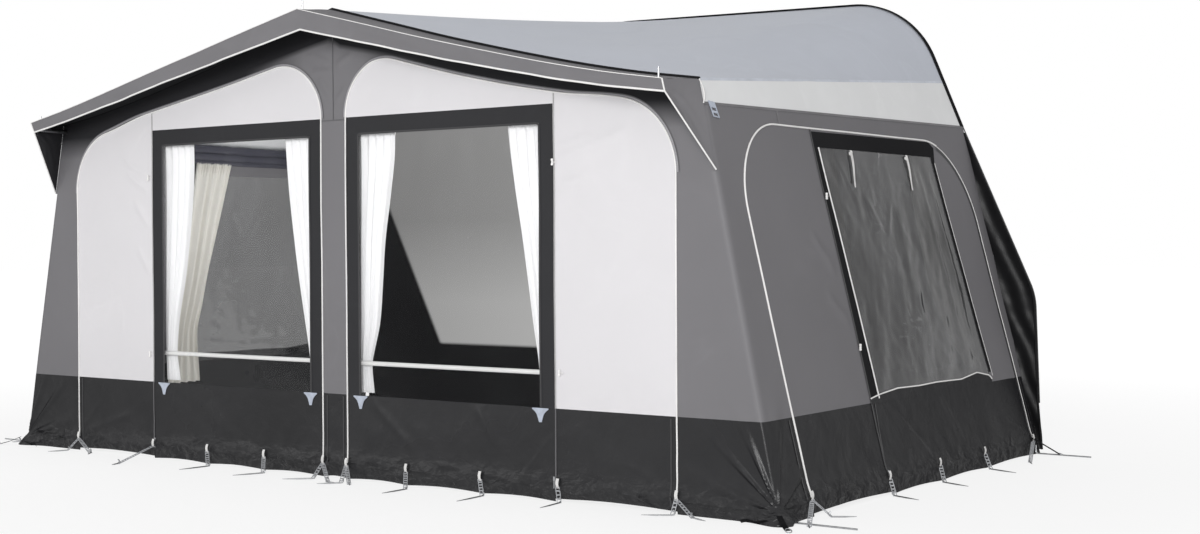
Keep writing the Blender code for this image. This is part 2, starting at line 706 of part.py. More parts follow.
def add_corner(sign, hand, finishes):
    """The strip that wraps the front corner, and the mudwall below it."""
    low = MUDWALL_HEIGHT + HALF_GAP
    zip_x = CORNER_ZIP_X + HALF_GAP
    arc_foot = corner_arc_foot() - PIECE_GAP
    arch = side_arch(-HALF_GAP)
    front_part = [
        front(sign, (zip_x, low)),
        front(sign, (side_x(low), low)),
        front(sign, (side_x(arc_foot), arc_foot)),
        front(sign, (zip_x, arc_foot)),
    ]
    seam_y = SIDE_SEAM_Y - HALF_GAP
    side_part = [
        side(sign, (0.0, low)),
        side(sign, (0.0, arc_foot)),
        side(sign, (0.0, wall_top(0.0) - HALF_GAP)),
        side(sign, (seam_y, wall_top(seam_y) - HALF_GAP)),
        side(sign, (seam_y, SIDE_ARCH_HEIGHT + HALF_GAP)),
        *[side(sign, p) for p in reversed(arch[1 : ARC_STEPS + 2])],
        side(sign, side_line(SIDE_ZIP_Y, SIDE_ZIP_LEAN_SHARE, low, -HALF_GAP)),
    ]
    parts = [(front_part, front_step()), (side_part, side_step(sign))]
    slab(f"corner_strip_{hand}", parts, finishes["grey"])
    top = MUDWALL_HEIGHT - HALF_GAP
    front_foot = [
        front(sign, (zip_x, 0.0)),
        front(sign, (side_x(0.0), 0.0)),
        front(sign, (side_x(top), top)),
        front(sign, (zip_x, top)),
    ]
    side_foot = [
        side(sign, (0.0, 0.0)),
        side(sign, (0.0, top)),
        side(sign, side_line(SIDE_ZIP_Y, SIDE_ZIP_LEAN_SHARE, top, -HALF_GAP)),
        side(sign, side_line(SIDE_ZIP_Y, SIDE_ZIP_LEAN_SHARE, 0.0, -HALF_GAP)),
    ]
    parts = [(front_foot, front_step()), (side_foot, side_step(sign))]
    slab(f"corner_mudwall_{hand}", parts, finishes["black"])


def add_side_wall(sign, hand, finishes):
    arch = side_arch(HALF_GAP)
    front_arc = arch[1 : ARC_STEPS + 2]
    rear_arc = arch[ARC_STEPS + 2 : -1]
    low = MUDWALL_HEIGHT + HALF_GAP
    top = SIDE_ARCH_HEIGHT - HALF_GAP
    edge = (SIDE_DOOR_EDGE_Y, SIDE_DOOR_EDGE_LEAN_SHARE)
    door = [arch[0], *front_arc, side_line(*edge, top, -HALF_GAP), side_line(*edge, low, -HALF_GAP)]
    place_on_axis(side_slab(f"side_door_{hand}", sign, door, finishes["grey"]), side_hinge(sign))
    film_front = (SIDE_FILM_FRONT_Y, SIDE_FILM_FRONT_LEAN_SHARE)
    film_rear = (SIDE_FILM_REAR_Y, SIDE_FILM_REAR_LEAN_SHARE)
    panel = [
        side_line(*edge, low, HALF_GAP),
        side_line(*edge, top, HALF_GAP),
        *rear_arc,
        arch[-1],
        side_line(*film_rear, low, HALF_GAP),
        side_line(*film_rear, SIDE_FILM_TOP_HEIGHT + HALF_GAP, HALF_GAP),
        side_line(*film_front, SIDE_FILM_TOP_HEIGHT + HALF_GAP, -HALF_GAP),
        side_line(*film_front, low, -HALF_GAP),
    ]
    side_slab(f"side_window_panel_{hand}", sign, panel, finishes["grey"])
    film = [
        side_line(*film_front, low, HALF_GAP),
        side_line(*film_front, SIDE_FILM_TOP_HEIGHT - HALF_GAP, HALF_GAP),
        side_line(*film_rear, SIDE_FILM_TOP_HEIGHT - HALF_GAP, -HALF_GAP),
        side_line(*film_rear, low, -HALF_GAP),
    ]
    side_slab(f"side_window_film_{hand}", sign, film, finishes["film"], FILM)
    outer = side_arch(-HALF_GAP)
    seam_y = SIDE_SEAM_Y + HALF_GAP
    rear_top = wall_rear_y(WALL_TOP_REAR_HEIGHT)
    surround = [
        Vector((seam_y, SIDE_ARCH_HEIGHT + HALF_GAP)),
        *outer[ARC_STEPS + 2 : -1],
        side_line(SIDE_REAR_ZIP_Y, SIDE_REAR_ZIP_LEAN_SHARE, low, HALF_GAP),
        Vector((wall_rear_y(low), low)),
        Vector((rear_top, wall_top(rear_top) - HALF_GAP)),
        Vector((seam_y, wall_top(seam_y) - HALF_GAP)),
    ]
    side_slab(f"side_surround_{hand}", sign, surround, finishes["grey"])
    add_side_mudwalls(sign, hand, edge, finishes["black"])


def add_side_mudwalls(sign, hand, edge, finish):
    top = MUDWALL_HEIGHT - HALF_GAP
    threshold = [
        side_line(SIDE_ZIP_Y, SIDE_ZIP_LEAN_SHARE, DOOR_FLOOR_CLEARANCE, HALF_GAP),
        side_line(SIDE_ZIP_Y, SIDE_ZIP_LEAN_SHARE, top, HALF_GAP),
        side_line(*edge, top, -HALF_GAP),
        side_line(*edge, DOOR_FLOOR_CLEARANCE, -HALF_GAP),
    ]
    place_on_axis(side_slab(f"side_door_mudwall_{hand}", sign, threshold, finish), side_hinge(sign))
    rear = [
        side_line(*edge, 0.0, HALF_GAP),
        side_line(*edge, top, HALF_GAP),
        Vector((wall_rear_y(top), top)),
        Vector((wall_rear_y(0.0), 0.0)),
    ]
    side_slab(f"side_mudwall_{hand}", sign, rear, finish)


def add_flap(sign, hand, finish):
    """The padded strip that closes the gap between the side wall's rear edge and the rail."""
    path = split_at_height(rail_path(), FLAP_TOP_HEIGHT)[1]
    outer = [Vector((x - BEAD_RADIUS - FLAP_EDGE_GAP, z)) for x, z in path]
    foot_x = max(outer[-1][0], side_x(FLAP_FLOOR_CLEARANCE) + FLAP_THICKNESS)
    outer.append(Vector((foot_x, FLAP_FLOOR_CLEARANCE)))
    inner = [Vector((side_x(z) + PIECE_GAP, z)) for z in (FLAP_FLOOR_CLEARANCE, FLAP_TOP_HEIGHT)]
    points = [Vector((sign * x, FRONT_Y + rear_y(z) - FLAP_THICKNESS, z)) for x, z in outer + inner]
    slab(f"sealing_flap_{hand}", [(points, front_step(FLAP_THICKNESS))], finish)


def upright_frame(sign):
    """Place of an upright: its foot on the ground, with Z along the tube."""
    if sign == 0:
        return Matrix.Translation(Vector((0.0, FRONT_Y + UPRIGHT_Y, 0.0)))
    foot_x = HALF_WIDTH - (FABRIC + PIECE_GAP + COLLAR_RADIUS) * LEAN_FACTOR
    turn = Matrix.Rotation(-sign * math.atan(SIDE_LEAN_SHARE), 4, "Y")
    lift = FOOT_RADIUS * (1 - 1 / LEAN_FACTOR)
    return Matrix.Translation(Vector((sign * foot_x, FRONT_Y + UPRIGHT_Y, lift))) @ turn


def upright_top(sign):
    """The point where an upper tube turns forwards."""
    if sign == 0:
        return centre_arm_end() + (ARM_REACH + UPRIGHT_Y) * -FORWARD
    end = arm_end(sign)
    along = upright_frame(sign) @ Vector((0.0, 0.0, end.z * LEAN_FACTOR))
    return Vector((along.x, FRONT_Y + UPRIGHT_Y, end.z))


def centre_arm_end():
    return Vector((0.0, FRONT_Y - ARM_REACH, fascia_top(0.0) - ARM_DROP))


def arm_crossings():
    """The straight part of each canopy arm, where it goes through the gable panel."""
    return [
        (upright_top(0), centre_arm_end()),
        (upright_top(-1), arm_end(-1)),
        (upright_top(1), arm_end(1)),
    ]


def add_lower_tube(name, sign, finish):
    """A tube with a ball foot below and a clamp collar at its open top."""
    ball = []
    for step in range(1, BALL_STEPS // 2 + 2):
        turn = step * math.pi / BALL_STEPS
        ball.append(Vector((FOOT_RADIUS * math.sin(turn), 0.0, FOOT_RADIUS * (1 - math.cos(turn)))))
    collar_foot = LOWER_TUBE_LENGTH - COLLAR_LENGTH
    profile = [Vector((0.0, 0.0, 0.0)), *ball]
    profile += [
        Vector((LOWER_TUBE_RADIUS, 0.0, 2 * FOOT_RADIUS)),
        Vector((LOWER_TUBE_RADIUS, 0.0, collar_foot)),
        Vector((COLLAR_RADIUS, 0.0, collar_foot)),
        Vector((COLLAR_RADIUS, 0.0, LOWER_TUBE_LENGTH)),
        Vector((LOWER_TUBE_BORE_RADIUS, 0.0, LOWER_TUBE_LENGTH)),
        Vector((LOWER_TUBE_BORE_RADIUS, 0.0, 2 * FOOT_RADIUS)),
        Vector((0.0, 0.0, 2 * FOOT_RADIUS)),
    ]
    bm = bmesh.new()
    verts = [bm.verts.new(point) for point in profile]
    edges = [bm.edges.new(pair) for pair in zip(verts, verts[1:])]
    bmesh.ops.spin(
        bm,
        geom=verts + edges,
        axis=UPWARD,
        cent=Vector((0.0, 0.0, 0.0)),
        steps=TUBE_SIDES,
        angle=2 * math.pi,
        use_merge=True,
    )
    bmesh.ops.remove_doubles(bm, verts=bm.verts, dist=PIECE_GAP / 10)
    bmesh.ops.recalc_face_normals(bm, faces=bm.faces)
    mesh = mesh_from(bm, name)
    mesh.transform(upright_frame(sign))
    mesh.shade_smooth()
    mesh.set_sharp_from_angle(angle=math.radians(35))
    add_object(name, mesh, finish)


def add_upper_tube(name, sign, finish):
    """The inner tube, which turns forwards into the canopy arm and ends in a pin."""
    start = upright_frame(sign) @ Vector((0.0, 0.0, LOWER_TUBE_LENGTH - TUBE_OVERLAP))
    end = centre_arm_end() if sign == 0 else arm_end(sign)
    bend = upright_top(sign)
    knee = ARM_BEND_RADIUS
    path = rounded([start, bend, end, end + ARM_BEND_RADIUS * UPWARD], [0.0, knee, UPPER_TUBE_RADIUS, 0.0])
    path = path[:-1]
    shoulder = end + UPPER_TUBE_RADIUS * UPWARD
    tip_height = (ARM_DROP + PIN_RISE) * UPWARD
    radii = [UPPER_TUBE_RADIUS] * len(path) + [PIN_RADIUS, PIN_RADIUS]
    path += [shoulder + PIN_RADIUS * UPWARD, end + tip_height]
    rod(name, path, UPPER_TUBE_RADIUS, finish, radii)


def add_lever(name, sign, finish):
    """The clamp's lever, lying against the inner side of its collar."""
    frame = upright_frame(sign)
    bm = bmesh.new()
    bmesh.ops.create_cube(bm, size=1.0)
    bmesh.ops.scale(bm, vec=(LEVER_WIDTH, LEVER_THICKNESS, LEVER_LENGTH), verts=bm.verts)
    bmesh.ops.translate(bm, vec=(0.0, LEVER_THICKNESS / 2, -LEVER_LENGTH / 2), verts=bm.verts)
    bmesh.ops.bevel(
        bm, geom=bm.edges[:], offset=LEVER_BEVEL, segments=2, profile=0.5, affect="EDGES", material=-1
    )
    thing = add_object(name, mesh_from(bm, name), finish)
    pivot = Vector((0.0, COLLAR_RADIUS + PIECE_GAP, LOWER_TUBE_LENGTH))
    thing.matrix_world = frame @ Matrix.Translation(pivot)


def add_uprights(finishes):
    for sign, place in ((0, "centre"), *HANDS):
        add_lower_tube(f"upright_lower_{place}", sign, finishes["steel"])
        add_upper_tube(f"upright_upper_{place}", sign, finishes["steel"])
        add_lever(f"clamp_lever_{place}", sign, finishes["plastic"])


def add_canopy_rails(finish):
    """The bent poles behind the fascia, from the middle arm to the corner arms."""
    drop = FABRIC * LEAN_FACTOR + CANOPY_RAIL_SLACK + CANOPY_RAIL_RADIUS
    slope = (fascia_top(0.0) - fascia_top(UPRIGHT_Y)) / UPRIGHT_Y
    end_gap = UPPER_TUBE_RADIUS + PIECE_GAP + CANOPY_RAIL_RADIUS * slope
    start_x = end_gap
    end_x = ARM_END_X - end_gap
    for sign, hand in HANDS:
        path = []
        for step in range(CANOPY_COLUMNS + 1):
            x = start_x + (end_x - start_x) * step / CANOPY_COLUMNS
            path.append(Vector((sign * x, FRONT_Y - ARM_REACH, fascia_top(x) - drop)))
        rod(f"canopy_rail_{hand}", path, CANOPY_RAIL_RADIUS, finish, arc_steps=TRIM_ARC_STEPS)


def add_roof_poles(finish):
    """The three poles under the roof, from the uprights' tops to the roof's rear edge."""
    drop = FABRIC * LEAN_FACTOR + ROOF_POLE_SLACK + ROOF_POLE_RADIUS
    rear_points = roof_profiles()[1]
    for sign, place in ((0, "centre"), *HANDS):
        rear_x, rear_z = rear_points[ROOF_TOP_POINTS - 1 if sign else 0]
        rear_end = Vector((sign * (rear_x - drop), FRONT_Y + wall_rear_y(rear_z), rear_z - drop))
        knee = upright_top(sign)
        seat_drop = ARM_BEND_RADIUS + ROOF_POLE_RADIUS
        seat_z = knee.z - seat_drop
        seat_x = sign * (abs(knee.x) + seat_drop * SIDE_LEAN_SHARE)
        slope = (rear_end.z - seat_z) / (rear_end.y - knee.y)
        seat_y = knee.y + UPPER_TUBE_RADIUS + PIECE_GAP + ROOF_POLE_RADIUS * slope
        front_end = Vector((seat_x, seat_y, seat_z))
        rod(f"roof_pole_{place}", [front_end, rear_end], ROOF_POLE_RADIUS, finish)


def add_bar(finish):
    """The bar across the front, held against the three uprights."""
    y = FRONT_Y + UPRIGHT_Y - LOWER_TUBE_RADIUS - PIECE_GAP - BAR_RADIUS
    end_x = side_x(BAR_HEIGHT) - BAR_END_MARGIN
    ends = [Vector((-end_x, y, BAR_HEIGHT)), Vector((end_x, y, BAR_HEIGHT))]
    rod("veranda_bar", ends, BAR_RADIUS, finish)


def curtain_point(sign, edge_x, side_step, width, width_table, across, down):
    """A point in the middle of a curtain's cloth; across runs from its fixed edge, down from its top."""
    hung_width = width * table_value(width_table, down)
    x = edge_x + side_step * (across * (hung_width + CURTAIN_HIDDEN_WIDTH) - CURTAIN_HIDDEN_WIDTH)
    phase = 2 * math.pi * CURTAIN_FOLDS * across
    wave = CURTAIN_FOLD_SHARE * math.sin(phase) + CURTAIN_RIPPLE_SHARE * math.sin(2 * phase + down)
    swing = CURTAIN_FOLD_DEPTH / 2 * (CURTAIN_TOP_DEPTH_SHARE + (1 - CURTAIN_TOP_DEPTH_SHARE) * down)
    y = TRACK_DEPTH + PIECE_GAP + CURTAIN_THICKNESS / 2 + swing * (1 + wave) + CURTAIN_DRIFT * down
    z = CURTAIN_TOP_HEIGHT + (CURTAIN_FOOT_HEIGHT - CURTAIN_TOP_HEIGHT) * down
    return front(sign, (x, z), y)


def add_curtain(name, sign, edge_x, side_step, width, width_shares, finish):
    table = tuple(zip(CURTAIN_HEIGHT_SHARES, width_shares))
    bm = bmesh.new()
    bmesh.ops.create_grid(bm, x_segments=CURTAIN_COLUMNS, y_segments=CURTAIN_ROWS, size=1.0)
    for vert in bm.verts:
        across, down = (vert.co.x + 1) / 2, (vert.co.y + 1) / 2
        vert.co = curtain_point(sign, edge_x, side_step, width, table, across, down)
    bmesh.ops.recalc_face_normals(bm, faces=bm.faces)
    pivot = front(sign, (edge_x, CURTAIN_TOP_HEIGHT), TRACK_DEPTH)
    thing = add_object(name, mesh_from(bm, name), finish)
    add_thickness(thing, CURTAIN_THICKNESS, 0.0)
    place_on_axis(thing, pivot)


def add_curtains(finish):
    film_in = STRIP_HALF_WIDTH + WINDOW_BORDER
    film_out = WINDOW_EDGE_X - WINDOW_BORDER
    for sign, hand in HANDS:
        outer = (OUTER_CURTAIN_WIDTH, OUTER_CURTAIN_WIDTH_SHARES)
        inner = (INNER_CURTAIN_WIDTH, INNER_CURTAIN_WIDTH_SHARES)
        if sign > 0:
            outer, inner = inner, outer
        add_curtain(f"curtain_{hand}_outer", sign, film_out, -1, *outer, finish)
        add_curtain(f"curtain_{hand}_inner", sign, film_in, 1, *inner, finish)


def slider_outline():
    """A zip slider with its puller hanging below, as (across, along) from the slider's middle."""
    half, narrow = SLIDER_WIDTH / 2, PULLER_WIDTH / 2
    top, neck = SLIDER_LENGTH / 2, -SLIDER_LENGTH / 2
    foot = neck - PULLER_LENGTH
    shape = [(-half, top), (half, top), (half, neck), (narrow, neck), (narrow, foot)]
    return [Vector(p) for p in shape + [(-narrow, foot), (-narrow, neck), (-half, neck)]]


def add_sliders(finish):
    inset = SLIDER_EDGE_MARGIN + SLIDER_WIDTH / 2
    for sign, hand in HANDS:
        lift = -(PIECE_GAP + SLIDER_THICKNESS) * LEAN_FACTOR
        centre = Vector((WINDOW_EDGE_X - inset, SLIDER_REST_HEIGHT))
        points = [front(sign, centre + p, lift) for p in slider_outline()]
        slider = slab(f"front_zip_slider_{hand}", [(points, front_step(SLIDER_THICKNESS))], finish)
        place_on_axis(slider, front(sign, centre))
        foot = side_line(SIDE_DOOR_EDGE_Y, SIDE_DOOR_EDGE_LEAN_SHARE, SLIDER_REST_HEIGHT, inset)
        lean = SIDE_DOOR_EDGE_LEAN_SHARE
        points = [side(sign, foot + Vector((p.x - lean * p.y, p.y)), lift) for p in slider_outline()]
        slider = slab(f"side_zip_slider_{hand}", [(points, side_step(sign, SLIDER_THICKNESS))], finish)
        place_on_axis(slider, side(sign, foot))


def add_pegs(finish):
    """Steel pegs that hold the four corners, lying on the ground."""
    for sign, hand in HANDS:
        for place, y in (("front", PEG_INSET_Y), ("rear", AWNING_DEPTH - PEG_INSET_Y)):
            shank_x = side_x(PEG_RADIUS + PEG_HOOK_RADIUS) + SLANT_GAP + PEG_RADIUS
            elbow = Vector((sign * shank_x, FRONT_Y + y, PEG_RADIUS))
            end = Vector((sign * (shank_x + PEG_LENGTH), FRONT_Y + y, PEG_RADIUS))
            hook = elbow + (PEG_HOOK + PEG_HOOK_RADIUS) * UPWARD
            path = rounded([hook, elbow, end], [0.0, PEG_HOOK_RADIUS, 0.0])
            rod(f"corner_peg_{place}_{hand}", path, PEG_RADIUS, finish, arc_steps=TRIM_ARC_STEPS)


def build():
    remove_scene_objects()
    finishes = {
        "roof": material("roof_cloth", (0.47, 0.51, 0.55), 0.75),
        "white": material("white_cloth", (0.8, 0.8, 0.8), 0.75),
        "grey": material("grey_cloth", (0.16, 0.16, 0.16), 0.8),
        "black": material("black_mudwall", (0.03, 0.03, 0.03), 0.45),
        "film": material("clear_film", (0.9, 0.92, 0.93), 0.08, alpha=0.25),
        "steel": material("zinc_steel", (0.6, 0.61, 0.62), 0.35, 1.0),
        "bar": material("white_bar", (0.85, 0.85, 0.85), 0.4),
        "plastic": material("black_plastic", (0.02, 0.02, 0.02), 0.5),
        "curtain": material("curtain_cloth", (0.85, 0.85, 0.84), 0.85),
    }
    add_roof(finishes["roof"])
    add_bead(finishes["plastic"])
    add_canopy(finishes["grey"])
    add_gable(finishes["grey"])
    add_front_wall(finishes)
    for sign, hand in HANDS:
        add_corner(sign, hand, finishes)
        add_side_wall(sign, hand, finishes)
        add_flap(sign, hand, finishes["black"])
    add_uprights(finishes)
    add_canopy_rails(finishes["steel"])
    add_roof_poles(finishes["steel"])
    add_bar(finishes["bar"])
    add_curtains(finishes["curtain"])
    add_sliders(finishes["steel"])
    add_pegs(finishes["steel"])


build()
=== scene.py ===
"""Caravan awning: its cloth, windows, curtains, zips, piping and straps.

World frame: X across the awning, Y from the front wall to the rear edge, Z up from the ground.
All lengths are metres. A value whose name ends in SHARE or SHARES is a plain ratio.
Wall places are given as (across, height): across is x on the front wall, and the distance behind
the front wall on a side wall.
"""

import math
from functools import partial

import bmesh
import bpy
from bpy.props import FloatProperty, FloatVectorProperty, IntProperty, PointerProperty
from mathutils import Matrix, Vector, noise


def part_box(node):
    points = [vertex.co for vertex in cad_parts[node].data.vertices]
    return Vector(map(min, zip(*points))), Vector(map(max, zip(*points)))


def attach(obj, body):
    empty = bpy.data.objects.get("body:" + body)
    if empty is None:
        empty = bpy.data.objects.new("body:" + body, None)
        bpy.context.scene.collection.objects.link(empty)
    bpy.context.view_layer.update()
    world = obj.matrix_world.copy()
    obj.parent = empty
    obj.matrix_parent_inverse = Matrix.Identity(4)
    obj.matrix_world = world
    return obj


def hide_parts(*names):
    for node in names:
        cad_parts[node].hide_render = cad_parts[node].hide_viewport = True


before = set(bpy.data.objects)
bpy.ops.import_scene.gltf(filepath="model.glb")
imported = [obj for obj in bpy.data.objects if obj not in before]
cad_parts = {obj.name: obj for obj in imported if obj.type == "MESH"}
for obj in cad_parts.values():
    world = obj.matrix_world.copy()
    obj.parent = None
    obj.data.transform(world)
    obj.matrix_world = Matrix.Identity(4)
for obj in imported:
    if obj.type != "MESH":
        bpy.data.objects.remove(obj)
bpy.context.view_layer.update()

bl_info = {
    "name": "Caravan awning",
    "version": (1, 0, 0),
    "blender": (4, 5, 0),
    "location": "3D Viewport > Sidebar > Awning",
    "description": "Cloth, windows, curtains, zips, piping and straps of a caravan awning",
    "category": "Add Mesh",
}

# Overall shape, as the frame has it
FRONT_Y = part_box("front_mudwall")[0].y
HALF_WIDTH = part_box("side_mudwall_right")[1].x
SIDE_LEAN_SHARE = 0.21
REAR_LEAN_SHARE = 0.09
BEAD_CLEARANCE = 0.0073
AWNING_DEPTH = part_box("side_mudwall_right")[1].y - FRONT_Y + BEAD_CLEARANCE
MUDWALL_HEIGHT = 0.41
WALL_TOP_FRONT_HEIGHT = 1.715
WALL_TOP_REAR_HEIGHT = 1.753
EAVE_FRONT_HEIGHT = 1.815
EAVE_REAR_HEIGHT = 2.0
RIDGE_FRONT_HEIGHT = 2.283
RIDGE_REAR_HEIGHT = 2.487
EAVE_FRONT_X = HALF_WIDTH - SIDE_LEAN_SHARE * EAVE_FRONT_HEIGHT
GABLE_SHARES = ((0.0, 0.0), (0.2, 0.235), (0.38, 0.445), (0.67, 0.745), (0.85, 0.9), (1.0, 1.0))
HANDS = ((-1, "left"), (1, "right"))
HALF_GAP = 0.00015
OUTWARD_SHARE = 1 / math.hypot(1.0, SIDE_LEAN_SHARE)
UP = Vector((0.0, 0.0, 1.0))
AHEAD = Vector((0.0, -1.0, 0.0))

# Rear rail line, as (x, z) corners with their radii
RAIL_CORNERS = ((0.0, RIDGE_REAR_HEIGHT), (1.859, 2.445), (2.127, 1.753), (2.5, 0.85), (2.5, 0.27))
RAIL_RADII = (0.0, 0.5, 0.0, 0.35, 0.0)
FLAP_TOP_HEIGHT = 1.722
FLAP_FOOT_HEIGHT = 0.02
FLAP_THICKNESS = 0.018
FLAP_RAIL_GAP = 0.0045
FLAP_FOLD_SPACING = 0.085
FLAP_BINDING_RADIUS = 0.0065
FLAP_BINDING_POINTS = 80

# Canopy
CANOPY_REACH = 0.235
FASCIA_FOOT_REACH = 0.215
FASCIA_HALF_WIDTH = EAVE_FRONT_X - 0.03085
FASCIA_TOP_HEIGHTS = (2.262, 1.803)
FASCIA_FOOT_HEIGHTS = (2.166, 1.752)
WING_FOOT_HEIGHT = 1.438

# Front panels
CORNER_ZIP_X = 1.996
WINDOW_EDGE_X = 1.355
STRIP_HALF_WIDTH = 0.083
WINDOW_BORDER = 0.083
WINDOW_TOP_HEIGHT = 1.755
WHITE_PEAK_HEIGHT = 2.104
WHITE_SLOPE_SHARE = 0.2
CORNER_ARC_RADIUS = 0.33
STRIP_ARC_RADIUS = 0.27
DOOR_FLOOR_CLEARANCE = 0.012
ARC_STEPS = 24
FILM_THICKNESS = 0.0005

# Side panels: foot places behind the front wall, and how far each line leans forward as it rises
SIDE_ZIP = (0.27, 0.06)
SIDE_DOOR_EDGE = (0.994, 0.072)
SIDE_REAR_ZIP = (2.72, 0.125)
SIDE_FILM_FRONT = (1.091, 0.106)
SIDE_FILM_REAR = (2.398, 0.175)
SIDE_ARCH_HEIGHT = 1.655
SIDE_ARCH_RADII = (0.36, 0.5)
SIDE_FILM_TOP_HEIGHT = 1.57
SIDE_SEAM_Y = 0.6
CORNER_ROUNDING = 0.02

# Curtains
TRACK_DEPTH = 0.0261
CURTAIN_TOP_HEIGHT = 1.775
CURTAIN_FOOT_HEIGHT = 0.42
CURTAIN_WIDTH = 0.213
CURTAIN_THICKNESS = 0.0008
CURTAIN_HIDDEN_WIDTH = 0.045
CURTAIN_HEIGHT_SHARES = (0.0, 0.15, 0.3, 0.45, 0.6, 0.75, 0.85, 0.9, 1.0)
CURTAIN_SHARES = {
    "left_outer": (1.0, 0.955, 0.86, 0.725, 0.54, 0.28, 0.19, 0.18, 0.29),
    "left_inner": (1.0, 0.975, 0.89, 0.755, 0.6, 0.435, 0.32, 0.28, 0.24),
    "right_inner": (1.0, 0.93, 0.77, 0.6, 0.5, 0.38, 0.2, 0.13, 0.2),
    "right_outer": (1.0, 0.95, 0.815, 0.64, 0.49, 0.36, 0.25, 0.22, 0.2),
}

# Camera at the photograph's place, solved from the photograph's straight edges
CAMERA_PLACE = (5.8232, -7.1077, 1.14)
CAMERA_YAW = 0.6267
CAMERA_PITCH = -0.0145
CAMERA_ROLL = -0.0059
CAMERA_LENS_MM = 50.0
CAMERA_SENSOR_MM = 36.0


class AwningSizes(bpy.types.PropertyGroup):
    """Sizes of the cloth, its trim and its straps."""

    cloth: FloatProperty(name="Cloth", description="Thickness of the cloth", default=0.001, unit="LENGTH")
    spacing: FloatProperty(
        name="Grid", description="Distance between the points of a cloth panel", default=0.025, unit="LENGTH"
    )
    piping: FloatProperty(
        name="Piping", description="Radius of the white piping", default=0.0038, unit="LENGTH"
    )
    swell: FloatProperty(
        name="Swell", description="How far the wall cloth swells outwards", default=0.008, unit="LENGTH"
    )
    roof_sag: FloatProperty(
        name="Roof sag", description="How far the roof hangs between its poles", default=0.042, unit="LENGTH"
    )
    strap_width: FloatProperty(
        name="Ladder width", description="Width of the ladder straps", default=0.02, unit="LENGTH"
    )
    peg_radius: FloatProperty(
        name="Peg", description="Radius of the pegs along the hem", default=0.0034, unit="LENGTH"
    )
    folds: IntProperty(name="Folds", description="Folds across a curtain", default=5, min=3, max=20)


class AwningColours(bpy.types.PropertyGroup):
    """Colours of the awning's materials."""

    roof: FloatVectorProperty(
        name="Roof", description="Roof cloth", subtype="COLOR", default=(0.53, 0.555, 0.616)
    )
    # Part of the difference between the roof and this band is painted light: the band is paler and the roof
    # darker, in place of how light falls on either side of the bend between them.
    band: FloatVectorProperty(
        name="Roof band", description="Paler cloth by the roof", subtype="COLOR", default=(0.76, 0.765, 0.77)
    )
    white: FloatVectorProperty(
        name="White panels", description="White front cloth", subtype="COLOR", default=(0.694, 0.681, 0.699)
    )
    grey: FloatVectorProperty(
        name="Grey cloth", description="Grey walls and canopy", subtype="COLOR", default=(0.172, 0.168, 0.177)
    )
    black: FloatVectorProperty(
        name="Mudwall", description="Black coated cloth", subtype="COLOR", default=(0.0165, 0.0165, 0.018)
    )
    curtain: FloatVectorProperty(
        name="Curtains", description="Front curtains", subtype="COLOR", default=(0.93, 0.93, 0.94)
    )
    cream: FloatVectorProperty(
        name="Side curtains", description="Side window curtains", subtype="COLOR", default=(0.8, 0.78, 0.72)
    )
    film: FloatVectorProperty(
        name="Film", description="Clear window film", subtype="COLOR", default=(0.3, 0.305, 0.31)
    )
    smoke: FloatVectorProperty(
        name="Smoke film", description="Side window film", subtype="COLOR", default=(0.02, 0.02, 0.022)
    )
    piping: FloatVectorProperty(
        name="Piping", description="White piping and zips", subtype="COLOR", default=(0.82, 0.81, 0.8)
    )
    plastic: FloatVectorProperty(
        name="Grey plastic", description="Tabs and buckles", subtype="COLOR", default=(0.42, 0.46, 0.54)
    )
    rubber: FloatVectorProperty(
        name="Ladders", description="Rubber ladder straps", subtype="COLOR", default=(0.42, 0.43, 0.45)
    )


def sizes():
    return bpy.context.scene.awning_sizes


# Lines and profiles


def rounded(points, radii, steps=ARC_STEPS):
    """The open path through points, with an arc of the given radius at each one whose radius isn't zero."""
    path = [points[0]]
    for before, corner, after, radius in zip(points, points[1:], points[2:], radii[1:]):
        if radius == 0.0:
            path.append(corner)
            continue
        back = (before - corner).normalized()
        ahead = (after - corner).normalized()
        half = back.angle(ahead) / 2
        centre = corner + (back + ahead).normalized() * (radius / math.sin(half))
        start = corner + back * (radius / math.tan(half)) - centre
        end = corner + ahead * (radius / math.tan(half)) - centre
        turn = math.pi - 2 * half
        for step in range(steps + 1):
            share = step / steps
            weight = math.sin((1 - share) * turn), math.sin(share * turn)
            path.append(centre + (start * weight[0] + end * weight[1]) / math.sin(turn))
    path.append(points[-1])
    return path


def path_lengths(path):
    lengths = [0.0]
    for a, b in zip(path, path[1:]):
        lengths.append(lengths[-1] + (b - a).length)
    return lengths


def resampled(path, count):
    """count points at equal distances along the path."""
    lengths = path_lengths(path)
    found = []
    index = 0
    for step in range(count):
        target = lengths[-1] * step / (count - 1)
        while index < len(path) - 2 and lengths[index + 1] < target:
            index += 1
        span = lengths[index + 1] - lengths[index]
        share = (target - lengths[index]) / span if span else 0.0
        found.append(path[index].lerp(path[index + 1], min(share, 1.0)))
    return found


def spaced(path, spacing):
    """The path again with its points about a spacing apart."""
    return resampled(path, max(2, math.ceil(path_lengths(path)[-1] / spacing) + 1))


def table_value(table, share):
    """The table's value at share, on a smooth curve through its points."""
    for index in range(len(table) - 1):
        if share <= table[index + 1][0]:
            break
    (a, value_a), (b, value_b) = table[index], table[index + 1]
    before = table[index - 1] if index else (2 * a - b, 2 * value_a - value_b)
    after = table[index + 2] if index + 2 < len(table) else (2 * b - a, 2 * value_b - value_a)
    slope_a = (value_b - before[1]) / (b - before[0])
    slope_b = (after[1] - value_a) / (after[0] - a)
    t = (share - a) / (b - a)
    span = b - a
    return (
        (2 * t**3 - 3 * t**2 + 1) * value_a
        + (t**3 - 2 * t**2 + t) * span * slope_a
        + (3 * t**2 - 2 * t**3) * value_b
        + (t**3 - t**2) * span * slope_b
    )


